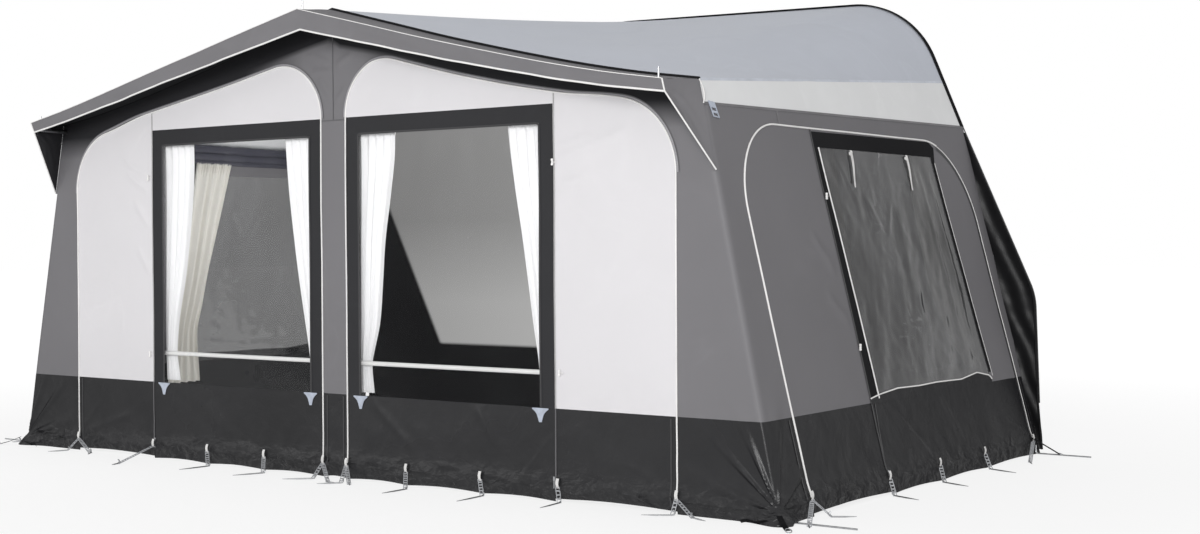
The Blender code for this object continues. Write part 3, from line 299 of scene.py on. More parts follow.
def gable_height(x, heights, half_width):
    share = min(abs(x) / half_width, 1.0)
    return heights[0] - (heights[0] - heights[1]) * table_value(GABLE_SHARES, share)


def seam_height(x):
    return gable_height(x, (RIDGE_FRONT_HEIGHT, EAVE_FRONT_HEIGHT), EAVE_FRONT_X)


def side_x(z):
    return HALF_WIDTH - SIDE_LEAN_SHARE * z


def rear_y(z):
    return AWNING_DEPTH - REAR_LEAN_SHARE * z


def wall_rear_y(z):
    return rear_y(z) - BEAD_CLEARANCE


def wall_top(y):
    return WALL_TOP_FRONT_HEIGHT + (WALL_TOP_REAR_HEIGHT - WALL_TOP_FRONT_HEIGHT) * y / AWNING_DEPTH


def white_top(x):
    return WHITE_PEAK_HEIGHT - WHITE_SLOPE_SHARE * abs(x)


def side_line(line, z, offset=0.0):
    """The point at height z on a leaning line of the side wall, moved rearwards by offset."""
    foot_y, lean_share = line
    return Vector((foot_y - lean_share * z + offset, z))


def ease(distance, reach):
    """A smooth step from 0 at no distance to 1 at the reach."""
    share = min(max(distance / reach, 0.0), 1.0)
    return share * share * (3 - 2 * share)


def ripple(a, b, size, seed):
    """Smooth noise from about -1 to 1 over a wall, with features of the given size."""
    return noise.noise(Vector((a / size, b / size, seed)))


def ridge(value, width):
    """A narrow fold where a smooth value passes zero, 1 at its top."""
    return math.exp(-((value / width) ** 2))


# How the cloth of the walls stands out of its flat planes

SWELL_REACH = 0.12
HEM_BULGE = 0.012
HEM_BULGE_HEIGHT = 0.06
SPOKE_DEPTH = 0.009
SPOKE_CENTRE_HEIGHT = 0.05
SPOKE_REACH = 0.24
SPOKES = 11.0
HEM_RISE = 0.009
HEM_RISE_HEIGHT = 0.14
HEADER_SAG = 0.034
HEADER_LIFT = 0.02
FLARE = 0.05
FLARE_HEIGHT = 0.075
FLARE_REACH = 0.11
FRONT_STRAPS = (-1.996, -1.355, -0.927, -0.505, -0.083, 0.083, 0.47, 0.93, 1.355, 1.996)
SIDE_STRAPS = (0.266, 0.988, 1.528, 2.06, 2.71)


def strap_share(place, straps):
    """0 at a strap along the hem, rising to 1 half way between two straps."""
    after = next((i for i, strap in enumerate(straps) if strap > place), len(straps))
    if after in (0, len(straps)):
        return 0.0
    before, here = straps[after - 1], straps[after]
    return math.sin(math.pi * (place - before) / (here - before))


def hem_rise(place, straps, z):
    """How far the cloth near the ground is drawn up between two straps."""
    return HEM_RISE * strap_share(place, straps) * (1 - ease(z, HEM_RISE_HEIGHT))


# Straight folds seen in the cloth: start and end as (across, height), half width and depth
FRONT_FOLDS = (
    ((1.384, 1.516), (1.76, 1.62), 0.022, 0.0062),
    ((1.384, 1.569), (1.6, 1.61), 0.018, 0.0042),
    ((1.384, 1.388), (1.54, 1.44), 0.019, 0.0048),
    ((0.49, 1.935), (0.545, 1.8), 0.022, 0.004),
    ((0.43, 1.93), (0.45, 1.82), 0.02, 0.0032),
    ((-1.6, 1.6), (-1.38, 1.51), 0.019, 0.0058),
    ((-1.58, 1.54), (-1.37, 1.42), 0.019, 0.0058),
    ((-1.5, 1.38), (-1.37, 1.23), 0.019, 0.0054),
    ((-1.48, 1.13), (-1.37, 0.98), 0.019, 0.0046),
    ((-0.175, 2.085), (-0.02, 2.02), 0.015, 0.006),
    ((-0.14, 1.988), (0.0, 1.985), 0.014, 0.005),
    ((-0.1, 1.955), (-0.005, 1.85), 0.015, 0.006),
    ((0.13, 2.06), (0.02, 2.01), 0.015, 0.0056),
    ((0.09, 1.9), (0.01, 1.83), 0.015, 0.005),
    ((1.65, 0.095), (1.78, 0.048), 0.02, 0.0085),
    ((1.77, 0.05), (1.97, 0.052), 0.02, 0.0085),
    ((1.15, 0.085), (1.37, 0.02), 0.026, 0.01),
    ((1.4, 0.02), (1.62, 0.06), 0.02, 0.007),
    ((0.54, 0.1), (0.62, 0.055), 0.012, 0.005),
    ((0.64, 0.112), (0.8, 0.103), 0.011, 0.005),
    ((0.2, 0.088), (0.33, 0.094), 0.014, 0.0045),
    ((-0.08, 0.13), (0.03, 0.06), 0.012, 0.005),
    ((0.86, 0.095), (1.1, 0.075), 0.016, 0.004),
    ((-0.65, 0.12), (-0.52, 0.07), 0.014, 0.004),
    ((-1.96, 0.1), (-1.56, 0.225), 0.018, 0.005),
    ((-1.96, 0.14), (-1.8, 0.29), 0.014, 0.003),
    ((-1.3, 0.08), (-1.0, 0.06), 0.018, 0.005),
    ((0.25, 0.38), (0.5, 0.18), 0.022, 0.0045),
    ((0.9, 0.39), (1.02, 0.22), 0.02, 0.005),
    ((1.96, 0.095), (1.72, 0.2), 0.014, 0.0026),
)
SIDE_FOLDS = (
    ((1.129, 0.385), (1.5, 0.09), 0.018, 0.006),
    ((1.05, 0.4), (1.2, 0.22), 0.012, 0.003),
    ((1.25, 0.09), (1.28, 0.3), 0.014, 0.003),
    ((1.7, 0.38), (1.86, 0.15), 0.02, 0.0026),
    ((0.33, 0.12), (0.7, 0.06), 0.02, 0.007),
    ((1.15, 0.06), (1.4, 0.05), 0.018, 0.007),
    ((1.62, 0.06), (1.95, 0.05), 0.018, 0.006),
    ((2.15, 0.055), (2.5, 0.06), 0.02, 0.007),
    ((2.69, 0.11), (2.35, 0.23), 0.016, 0.004),
    ((0.86, 1.0), (0.7, 1.18), 0.02, 0.006),
    ((0.9, 0.78), (0.74, 0.9), 0.02, 0.0055),
    ((0.64, 1.1), (0.9, 1.06), 0.018, 0.0045),
)


def fold_depth(a, z, folds):
    """How far the straight folds stand out at a place on a wall."""
    total = 0.0
    for (start_a, start_z), (end_a, end_z), width, depth in folds:
        along_a, along_z = end_a - start_a, end_z - start_z
        length = math.hypot(along_a, along_z)
        share = ((a - start_a) * along_a + (z - start_z) * along_z) / (length * length)
        if not -0.1 < share < 1.1:
            continue
        away = abs((a - start_a) * along_z - (z - start_z) * along_a) / length
        if away > 3 * width:
            continue
        ends = ease(share + 0.1, 0.35) * ease(1.1 - share, 0.35)
        total += depth * ends * math.exp(-((away / width) ** 2))
    return total


def wall_swell(a, z, seed):
    """Broad swelling that any wall cloth has, with fainter dents in it."""
    depth = sizes().swell
    broad = ripple(a, z, 0.55, seed)
    thin = ripple(a + 0.6 * z, z - 0.6 * a, 0.2, seed + 5.0)
    return depth * (0.6 * broad + 0.1 * thin)


def mudwall_swell(a, z, seed):
    """Slack of the black cloth near the ground, and its crumples over the hem."""
    low = math.exp(-(((z - HEM_BULGE_HEIGHT) / 0.045) ** 2))
    bulge = low * (0.35 + 0.8 * ripple(a, 2.5 * z, 0.2, seed + 2.0))
    here = low * ease(ripple(a, 0.0, 0.3, seed + 4.0) + 0.3, 0.5)
    crumple = ridge(ripple(0.7 * a + z, 2.0 * z - 0.4 * a, 0.09, seed + 3.0), 0.16) * here
    crumple += 0.8 * ridge(ripple(0.5 * a - z, 2.2 * z + 0.3 * a, 0.13, seed + 6.0), 0.14) * here
    slack = 0.25 * math.exp(-(((z - 0.2) / 0.13) ** 2)) * ripple(a + 0.7 * z, z, 0.16, seed + 7.0)
    return HEM_BULGE * (bulge + 0.55 * crumple + slack)


def spokes(s, z):
    """Folds that fan out of the gathered foot of a front corner, and the cloth flaring at that foot."""
    rise = z - SPOKE_CENTRE_HEIGHT
    reach = math.hypot(s, rise)
    turn = math.atan2(rise, s)
    strength = math.exp(-(((reach - 0.14) / SPOKE_REACH) ** 2)) * ease(reach, 0.08) * ease(rise + 0.03, 0.06)
    strength *= ease(side_line(SIDE_ZIP, z)[0] - s, 0.07)
    wave = math.sin(SPOKES * turn + 1.2 * math.sin(3 * turn) + 0.8)
    fold = SPOKE_DEPTH * strength * (1.3 * max(wave, 0.0) ** 2 - 0.25)
    crush = 0.006 * ripple(s, 1.5 * z, 0.05, 15.0) * math.exp(-((reach / 0.09) ** 2))
    flare = FLARE * (1 - ease(z, FLARE_HEIGHT)) * math.exp(-((s / FLARE_REACH) ** 2))
    return fold + crush + flare


def front_swell(x, z):
    inside = ease(side_x(z) - abs(x), SWELL_REACH) * ease(seam_height(x) - z, SWELL_REACH)
    return inside * (wall_swell(x, z, 1.0) + mudwall_swell(x, z, 1.0)) + fold_depth(x, z, FRONT_FOLDS)


def side_swell(sign, y, z):
    inside = ease(y, SWELL_REACH) * ease(wall_rear_y(z) - y, SWELL_REACH) * ease(wall_top(y) - z, SWELL_REACH)
    swell = wall_swell(y, z, 20.0 + sign) + mudwall_swell(y, z, 20.0 + sign)
    return inside * swell + fold_depth(y, z, SIDE_FOLDS)


def header_drop(x, z):
    """How far the white panels' upper edge leaves its straight line."""
    weight = ease(z - WINDOW_TOP_HEIGHT, 0.07) * ease(seam_height(x) - z, 0.1)
    weight *= math.exp(-(((z - white_top(x)) / 0.12) ** 2))
    if x < 0:
        return -HEADER_LIFT * ease(-x - 0.6, 1.0) * weight
    share = min(max((x - 0.25) / 1.6, 0.0), 1.0)
    return HEADER_SAG * math.sin(math.pi * share) * weight


def front_point(x, z, out=0.0):
    """A point on the front wall's cloth, standing out of it by out."""
    lift = hem_rise(x, FRONT_STRAPS, z) - header_drop(x, z)
    return Vector((x, FRONT_Y - out - front_swell(x, z), z + lift))


def side_outward(sign):
    return Vector((sign, 0.0, SIDE_LEAN_SHARE)) * OUTWARD_SHARE


def side_point(sign, y, z, out=0.0):
    """A point on a side wall's cloth, standing out of it by out."""
    lift = hem_rise(y, SIDE_STRAPS, z)
    place = Vector((sign * side_x(z), FRONT_Y + y, z + lift))
    return place + side_outward(sign) * (out + side_swell(sign, y, z))


def corner_point(sign, s, z, out=0.0):
    """A point on the cloth round a front corner; s is 0 at the corner and grows along the side wall."""
    swell = out + spokes(s, z)
    if s <= -CORNER_ROUNDING:
        return front_point(sign * (side_x(z) + s), z, swell)
    if s >= CORNER_ROUNDING:
        return side_point(sign, s, z, swell)
    turn = (s + CORNER_ROUNDING) / (2 * CORNER_ROUNDING) * math.pi / 2
    reach = CORNER_ROUNDING + swell
    x = side_x(z) - CORNER_ROUNDING + reach * math.sin(turn)
    y = CORNER_ROUNDING - reach * math.cos(turn)
    return Vector((sign * x, FRONT_Y + y, z))


# Outlines of the panels


def white_outline(inset):
    """The white panels' outline on the right-hand half, from the corner zip over the top to the strip."""
    outer_x = CORNER_ZIP_X - inset
    inner_x = STRIP_HALF_WIDTH + inset
    points = [
        Vector((outer_x, MUDWALL_HEIGHT + abs(inset))),
        Vector((outer_x, white_top(outer_x) - inset)),
        Vector((inner_x, white_top(inner_x) - inset)),
        Vector((inner_x, MUDWALL_HEIGHT + abs(inset))),
    ]
    return rounded(points, [0.0, CORNER_ARC_RADIUS - inset, STRIP_ARC_RADIUS - inset, 0.0])


def side_arch(inset):
    """The zip line over the side panels, from the front zip's foot to the rear zip's foot."""
    low = MUDWALL_HEIGHT + abs(inset)
    top = SIDE_ARCH_HEIGHT - inset
    points = [
        side_line(SIDE_ZIP, low, inset),
        side_line(SIDE_ZIP, top, inset),
        side_line(SIDE_REAR_ZIP, top, -inset),
        side_line(SIDE_REAR_ZIP, low, -inset),
    ]
    front_radius, rear_radius = SIDE_ARCH_RADII
    return rounded(points, [0.0, front_radius - inset, rear_radius - inset, 0.0])


def rail_path(first=0, last=len(RAIL_CORNERS)):
    points = [Vector(corner) for corner in RAIL_CORNERS[first:last]]
    return rounded(points, RAIL_RADII[first:last])


def split_at_height(path, z):
    """The part of a falling path above z, and the part below it."""
    for index in range(1, len(path)):
        if path[index][1] <= z:
            share = (path[index - 1][1] - z) / (path[index - 1][1] - path[index][1])
            middle = path[index - 1].lerp(path[index], share)
            return path[:index] + [middle], [middle] + path[index:]
    return path, path[-1:]


# Node tools and shared effects


class Nodes:
    """Adds nodes to a tree, joins them and sets its Principled shader, if it has one."""

    def __init__(self, tree):
        self.tree = tree
        self.shader = tree.nodes.get("Principled BSDF")

    def put(self, socket, value):
        if isinstance(value, bpy.types.NodeSocket):
            self.tree.links.new(value, socket)
        else:
            socket.default_value = value

    def add(self, kind, inputs=None, **settings):
        node = self.tree.nodes.new(kind)
        for key, value in settings.items():
            setattr(node, key, value)
        for key, value in (inputs or {}).items():
            self.put(node.inputs[key], value)
        return node

    def math(self, operation, *values):
        node = self.add("ShaderNodeMath", operation=operation)
        for socket, value in zip(node.inputs, values):
            self.put(socket, value)
        return node.outputs[0]

    def shade(self, **values):
        """Sets or links inputs of the shader; an underscore stands for a blank in a label."""
        for label, value in values.items():
            self.put(self.shader.inputs[label.replace("_", " ")], value)

    def bump(self, height):
        self.shade(Normal=self.add("ShaderNodeBump", {"Height": height, "Distance": 1.0}).outputs["Normal"])

    def group(self, name, **inputs):
        node = self.add("ShaderNodeGroup", node_tree=bpy.data.node_groups[name])
        for label, value in inputs.items():
            self.put(node.inputs[label], value)
        return node.outputs

    def times(self, first, second):
        return self.math("MULTIPLY", first, second)

    def plus(self, first, second):
        return self.math("ADD", first, second)

    def away(self, value, middle=0.0):
        """How far a value is from the middle."""
        return self.math("ABSOLUTE", self.math("SUBTRACT", value, middle) if middle else value)

    def parts(self, vector):
        return self.add("ShaderNodeSeparateXYZ", {"Vector": vector}).outputs

    def places(self):
        return self.add("ShaderNodeTexCoord").outputs["Object"]

    def flat(self):
        return self.add("ShaderNodeUVMap", uv_map="cloth").outputs["UV"]

    def stretch(self, value, low, high, to_low=0.0, to_high=1.0):
        """The value's range from low to high, clamped and made to_low to to_high."""
        node = self.add("ShaderNodeMapRange", {"Value": value, "From Min": low, "From Max": high})
        self.put(node.inputs["To Min"], to_low)
        self.put(node.inputs["To Max"], to_high)
        return node.outputs["Result"]

    def fall(self, value, low, high):
        """1 below low, 0 above high and a straight line between them."""
        return self.stretch(value, low, high, 1.0, 0.0)

    def resized(self, vector, scale):
        return self.add("ShaderNodeMapping", {"Vector": vector, "Scale": scale}).outputs["Vector"]

    def scaled(self, colour, factor):
        """A colour times a factor that differs from place to place."""
        inputs = {0: colour[:], "Scale": factor}
        return self.add("ShaderNodeVectorMath", inputs, operation="SCALE").outputs["Vector"]

    def mix(self, factor, first, second):
        node = self.add("ShaderNodeMix", data_type="RGBA")
        self.put(node.inputs[0], factor)
        self.put(node.inputs[6], first)
        self.put(node.inputs[7], second)
        return node.outputs[2]

    def noise(self, vector, scale, detail=3.0, distortion=0.0):
        inputs = {"Vector": vector, "Scale": scale, "Detail": detail, "Distortion": distortion}
        return self.add("ShaderNodeTexNoise", inputs).outputs["Fac"]


def new_group(name, inputs, outputs):
    """A shader node group with float or vector inputs; each input is (label, kind, value)."""
    tree = bpy.data.node_groups.new(name, "ShaderNodeTree")
    for label, kind, value in inputs:
        socket = tree.interface.new_socket(label, in_out="INPUT", socket_type=f"NodeSocket{kind}")
        if value is not None:
            socket.default_value = value
    for label in outputs:
        tree.interface.new_socket(label, in_out="OUTPUT", socket_type="NodeSocketFloat")
    nodes = Nodes(tree)
    return nodes, nodes.add("NodeGroupInput").outputs, nodes.add("NodeGroupOutput").inputs


def build_weave():
    """Plain weave: warp and weft threads over and under each other."""
    inputs = [("Vector", "Vector", None), ("Threads", "Float", 1200.0), ("Depth", "Float", 0.0001)]
    nodes, given, result = new_group("weave", inputs, ["Height"])
    parts = nodes.parts(given["Vector"])
    waves = []
    for axis in ("X", "Y"):
        turns = nodes.times(nodes.times(parts[axis], given["Threads"]), math.pi)
        waves.append(nodes.math("SINE", turns))
    over = nodes.times(waves[0], waves[1])
    nodes.put(result["Height"], nodes.times(over, given["Depth"]))


def build_creases():
    """Thin sharp folds left by packing, and softer dents between them."""
    inputs = [("Vector", "Vector", None), ("Scale", "Float", 3.0), ("Depth", "Float", 0.001)]
    nodes, given, result = new_group("creases", inputs, ["Height", "Fold"])
    first = nodes.noise(given["Vector"], given["Scale"], 2.0, 0.6)
    near = nodes.fall(nodes.away(first, 0.5), 0.0, 0.05)
    where = nodes.stretch(nodes.noise(given["Vector"], nodes.times(given["Scale"], 0.6), 2.0), 0.5, 0.7)
    fold = nodes.times(near, where)
    second = nodes.noise(given["Vector"], nodes.times(given["Scale"], 2.7), 3.0, 0.3)
    dents = nodes.times(nodes.math("SUBTRACT", second, 0.5), 1.6)
    both = nodes.plus(nodes.times(fold, 0.35), dents)
    nodes.put(result["Height"], nodes.times(both, given["Depth"]))
    nodes.put(result["Fold"], fold)


def build_blotches():
    """Soft uneven patches, from 0 to 1."""
    inputs = [("Vector", "Vector", None), ("Scale", "Float", 1.5)]
    nodes, given, result = new_group("blotches", inputs, ["Value"])
    large = nodes.noise(given["Vector"], given["Scale"], 4.0, 0.2)
    nodes.put(result["Value"], nodes.stretch(large, 0.3, 0.7))


def build_dust():
    """Dust and splashes near the ground, from 1 at the ground to 0 at the top."""
    inputs = [("Vector", "Vector", None), ("Top", "Float", 0.25)]
    nodes, given, result = new_group("dust", inputs, ["Mask"])
    height = nodes.parts(given["Vector"])["Z"]
    low = nodes.fall(nodes.math("DIVIDE", height, given["Top"]), 0.0, 1.0)
    grain = nodes.stretch(nodes.noise(given["Vector"], 14.0, 5.0), 0.4, 0.75)
    nodes.put(result["Mask"], nodes.times(low, grain))


def build_stitches():
    """Two rows of stitches along a tape whose UV runs across and along it, in metres."""
    inputs = [("Vector", "Vector", None), ("Row", "Float", 0.003), ("Pitch", "Float", 0.004)]
    nodes, given, result = new_group("stitches", inputs, ["Mask"])
    parts = nodes.parts(given["Vector"])
    row = nodes.fall(nodes.away(nodes.away(parts["X"]), given["Row"]), 0.0003, 0.0007)
    turns = nodes.math("FRACT", nodes.math("DIVIDE", parts["Y"], given["Pitch"]))
    nodes.put(result["Mask"], nodes.times(row, nodes.math("LESS_THAN", turns, 0.68)))


def build_teeth():
    """The teeth of a zip along the middle of its tape."""
    inputs = [("Vector", "Vector", None), ("Half Width", "Float", 0.002), ("Pitch", "Float", 0.0025)]
    nodes, given, result = new_group("teeth", inputs, ["Mask"])
    parts = nodes.parts(given["Vector"])
    row = nodes.math("LESS_THAN", nodes.away(parts["X"]), given["Half Width"])
    turns = nodes.math("FRACT", nodes.math("DIVIDE", parts["Y"], given["Pitch"]))
    nodes.put(result["Mask"], nodes.times(row, nodes.math("LESS_THAN", turns, 0.6)))


def new_material(name):
    """The node tools of a new material."""
    material = bpy.data.materials.new(f"awning_{name}")
    material.use_nodes = True
    return Nodes(material.node_tree)


def cloth_material(
    name, colour, roughness, threads, weave, creases, patches, dust_top=0.0, sheen=0.0, gloss=0.3, crumple=0.0
):
    """Coated woven cloth; weave and creases are depths, and patches is how uneven its colour is.

    crumple is the depth of the crumples just over the ground.
    """
    nodes = new_material(name)
    places = nodes.places()
    flat = nodes.flat()
    uneven = nodes.group("blotches", Vector=places)["Value"]
    fold = nodes.group("creases", Vector=places, Depth=creases)
    light = nodes.plus(nodes.times(uneven, patches), 1.0 - patches / 2)
    worn = nodes.plus(light, nodes.times(fold["Fold"], patches * 0.5))
    shown = nodes.scaled(colour, worn)
    if dust_top:
        mask = nodes.group("dust", Vector=places, Top=dust_top)["Mask"]
        dusty = [0.5 * part + 0.06 for part in colour]
        shown = nodes.mix(nodes.times(mask, 0.2), shown, (*dusty, 1.0))
    nodes.shade(Base_Color=shown)
    rough = nodes.plus(nodes.times(uneven, 0.12), roughness - 0.06)
    nodes.shade(Roughness=rough)
    threaded = nodes.group("weave", Vector=flat, Threads=threads, Depth=weave)["Height"]
    height = nodes.plus(threaded, fold["Height"])
    if crumple:
        level = nodes.parts(places)["Z"]
        squeezed = nodes.resized(places, (1.0, 1.0, 1.8))
        crushed = nodes.group("creases", Vector=squeezed, Scale=4.2, Depth=crumple)["Height"]
        near = nodes.stretch(level, 0.04, 0.15, 1.0, 0.03)
        height = nodes.plus(height, nodes.times(crushed, near))
    nodes.bump(height)
    nodes.shade(Sheen_Weight=sheen)
    turned = nodes.add("ShaderNodeLayerWeight", {"Blend": 0.5}).outputs["Facing"]
    nodes.shade(Specular_IOR_Level=nodes.stretch(turned, 0.2, 0.58, gloss, gloss * 0.1))
    return nodes


def gable_painted_shade_material(name, light, dark):
    """The grey cloth under the hood with the hood's shadow painted on: dark near the hood, grey round the
    strip and at the outer ends.
    """
    nodes = cloth_material(name, light, 0.52, 900.0, 0.00006, 0.0014, 0.11)
    places = nodes.places()
    parts = nodes.parts(places)
    away = nodes.away(parts["X"])
    # Painted shade of the hood: the colour goes dark above a line that falls outwards from the middle. It
    # stays grey only below that line round the strip and low at the outer ends, and the shine is lowered in
    # the painted shade too.
    hood_shadow_level = nodes.plus(parts["Z"], nodes.times(away, 0.2))
    hood_shadow_level = nodes.plus(hood_shadow_level, nodes.stretch(parts["X"], -0.03, 0.05, -0.03, 0.0))
    below = nodes.fall(hood_shadow_level, 2.095, 2.125)
    middle = nodes.times(below, nodes.fall(away, 0.2, 0.62))
    outer = nodes.times(nodes.fall(parts["Z"], 1.62, 1.74), nodes.stretch(away, 1.7, 1.82))
    grey = nodes.math("MAXIMUM", outer, middle)
    shown = nodes.shader.inputs["Base Color"].links[0].from_socket
    nodes.shade(Base_Color=nodes.mix(grey, (*(dark * 0.75), 1.0), shown))
    shine = nodes.shader.inputs["Specular IOR Level"].links[0].from_socket
    duller = nodes.times(shine, nodes.stretch(grey, 0.0, 1.0, 0.1, 1.0))
    nodes.shade(Specular_IOR_Level=duller)


def tape_material(name, colour, roughness, pattern, mark, depth=0.0004):
    """Woven tape with stitches or zip teeth along it; mark is their colour."""
    nodes = new_material(name)
    flat = nodes.flat()
    places = nodes.places()
    mask = nodes.group(pattern, Vector=flat)["Mask"]
    uneven = nodes.stretch(nodes.noise(places, 9.0, 4.0), 0.3, 0.7, 0.86, 1.06)
    nodes.shade(Base_Color=nodes.mix(mask, nodes.scaled(colour, uneven), (*mark, 1.0)))
    nodes.shade(Roughness=nodes.stretch(uneven, 0.8, 1.1, roughness + 0.08, roughness - 0.05))
    threaded = nodes.group("weave", Vector=flat, Threads=1400.0, Depth=0.00008)["Height"]
    nodes.bump(nodes.plus(nodes.times(mask, depth), threaded))


GRAIN_DEPTH = 0.00005


def solid_material(name, colour, roughness, metallic=0.0, uneven=0.12, scale=40.0, scuffs=0.0):
    """Moulded plastic, rubber or metal with fine grain, patches and scuffs."""
    nodes = new_material(name)
    places = nodes.places()
    patch = nodes.stretch(nodes.noise(places, scale, 4.0), 0.3, 0.7, 1 - uneven, 1 + uneven)
    scuff = nodes.stretch(nodes.noise(places, scale * 4, 6.0, 1.0), 0.6, 0.72)
    marked = nodes.times(scuff, scuffs)
    pale = [min(1.0, part * 1.5 + 0.05) for part in colour]
    nodes.shade(Base_Color=nodes.mix(marked, nodes.scaled(colour, patch), (*pale, 1.0)))
    nodes.shade(Roughness=nodes.plus(nodes.times(scuff, 0.15), roughness))
    nodes.shade(Metallic=metallic)
    nodes.bump(nodes.times(nodes.noise(places, 900.0, 2.0), GRAIN_DEPTH))


def film_material(name, colour, clear, glint_cover, scale, waves):
    """Flexible film: see-through, glossy and wavy, with painted glints along fine crinkles and a painted pale
    haze.
    """
    nodes = new_material(name)
    places = nodes.places()
    long_way = nodes.resized(places, (1.0, 1.0, 0.5))
    wave = nodes.noise(long_way, 3.6, 1.0, 0.8)
    painted_haze = nodes.stretch(nodes.noise(long_way, 2.5, 3.0, 0.5), 0.35, 0.75)
    thread = nodes.away(nodes.noise(places, scale, 1.0, 1.0), 0.5)
    crinkle_glint = nodes.fall(thread, 0.0, 0.012)
    where = nodes.stretch(nodes.noise(places, 2.2, 3.0), 0.52, 0.68)
    line = nodes.times(crinkle_glint, where)
    # Painted reflections: the haze and the crinkle lines make the film paler and less see-through; the
    # crinkles are bumps as well.
    both = nodes.plus(nodes.times(painted_haze, 0.3), nodes.times(line, 0.5))
    nodes.shade(Base_Color=nodes.mix(both, (*colour, 1.0), (0.4, 0.4, 0.41, 1.0)))
    nodes.shade(Roughness=nodes.stretch(both, 0.0, 1.0, 0.1, 0.3))
    rim = nodes.add("ShaderNodeLayerWeight", {"Blend": 0.2}).outputs["Fresnel"]
    cover = nodes.plus(nodes.times(both, glint_cover), clear)
    shown = nodes.math("MINIMUM", nodes.plus(cover, nodes.times(rim, 0.06)), 1.0)
    nodes.shade(Alpha=shown)
    height = nodes.plus(nodes.times(wave, waves), nodes.times(line, 0.0008))
    nodes.bump(height)


def build_materials(colours):
    """All materials by name, made once."""
    if "weave" in bpy.data.node_groups:
        return
    for build in (build_weave, build_creases, build_blotches, build_dust, build_stitches, build_teeth):
        build()
    grey = Vector(colours.grey)
    black = Vector(colours.black)
    cloth_material("roof_cloth", colours.roof, 0.55, 900.0, 0.00005, 0.002, 0.06, sheen=0.1, gloss=0.22)
    # The band's paler colour is partly painted light of its steeper slope.
    cloth_material("band_cloth", colours.band, 0.55, 900.0, 0.00005, 0.0018, 0.06, sheen=0.1, gloss=0.22)
    cloth_material("white_cloth", colours.white, 0.48, 1000.0, 0.00005, 0.0018, 0.035, 0.6)
    cloth_material("grey_cloth", grey, 0.52, 900.0, 0.00006, 0.0011, 0.11, 0.7)
    # The gable's grey cloth, with the hood's shadow painted on it in a dark colour.
    gable_painted_shade_material("gable_cloth_painted_shade", grey, black * 2.2)
    # Painted shade: near-black cloth for the inner faces of the hood and wings, where the grey cloth lies in
    # the hood's shadow.
    cloth_material("header_cloth", black * 1.7, 0.7, 900.0, 0.00006, 0.0006, 0.1, gloss=0.1)
    cloth_material("black_cloth", black, 0.27, 700.0, 0.00006, 0.0026, 0.3, 0.25, gloss=0.26, crumple=0.014)
    cloth_material("border_cloth", black * 1.65, 0.5, 900.0, 0.00005, 0.0009, 0.2, gloss=0.14)
    cloth_material("dark_border", black * 0.75, 0.5, 900.0, 0.00005, 0.0005, 0.16, gloss=0.08)
    cloth_material("pad_cloth", black * 0.5, 0.33, 700.0, 0.00006, 0.0016, 0.3, gloss=0.26)
    cloth_material("dark_roll", (0.05, 0.05, 0.068), 0.36, 900.0, 0.00006, 0.001, 0.3, gloss=0.7)
    cloth_material("curtain_cloth", colours.curtain, 0.75, 1500.0, 0.00005, 0.0004, 0.04, sheen=0.2)
    cloth_material("cream_cloth", colours.cream, 0.75, 1500.0, 0.00005, 0.0005, 0.08, sheen=0.2)
    cloth_material("webbing", black * 0.6, 0.7, 500.0, 0.0002, 0.0003, 0.3, gloss=0.12)
    film_material("window_film", Vector(colours.film), 0.012, 0.03, 5.0, 0.004)
    film_material("side_film", Vector(colours.smoke), 0.61, 0.2, 7.0, 0.007)
    pale = Vector(colours.piping)
    solid_material("white_piping", pale, 0.42, uneven=0.06, scale=12.0)
    solid_material("grey_plastic", Vector(colours.plastic), 0.38, scuffs=0.25)
    solid_material("white_plastic", pale, 0.35, uneven=0.04, scuffs=0.1)
    solid_material("black_plastic", black * 0.7, 0.45, scuffs=0.15)
    solid_material("ladder_rubber", Vector(colours.rubber), 0.6, uneven=0.2, scuffs=0.2)
    solid_material("zinc_steel", (0.36, 0.365, 0.375), 0.36, 1.0, uneven=0.15, scale=60.0, scuffs=0.3)
    solid_material("white_paint", (0.82, 0.82, 0.81), 0.35, uneven=0.03, scale=20.0, scuffs=0.15)
    thread = grey * 0.5
    dark = black * 1.3
    tape_material("grey_seam", grey * 0.92, 0.6, "stitches", thread)
    tape_material("black_seam", dark, 0.55, "stitches", grey * 0.4)
    tape_material("roof_seam", Vector(colours.roof) * 1.15, 0.55, "stitches", Vector(colours.roof) * 0.95)
    tape_material("black_zip", dark, 0.55, "teeth", grey * 0.35, 0.0012)
    tape_material("pale_zip", pale * 0.8, 0.5, "teeth", grey * 1.6, 0.0012)
    tape_material("grey_zip", grey * 0.6, 0.5, "teeth", grey * 1.2, 0.0012)
    tape_material("dark_seam", grey * 0.6, 0.6, "stitches", thread)
    tape_material("white_tape", pale, 0.6, "stitches", pale * 0.75)
    tape_material("arch_tape", grey * 1.9, 0.5, "stitches", grey * 1.2)


# Mesh tools

TRIM_SPACING = 0.02
TAPE_LIFT = 0.0016
SEAM_LIFT = 0.0012
SEAM_WIDTH = 0.007
TAPE_THICKNESS = 0.0008
LATHE_STEPS = 16


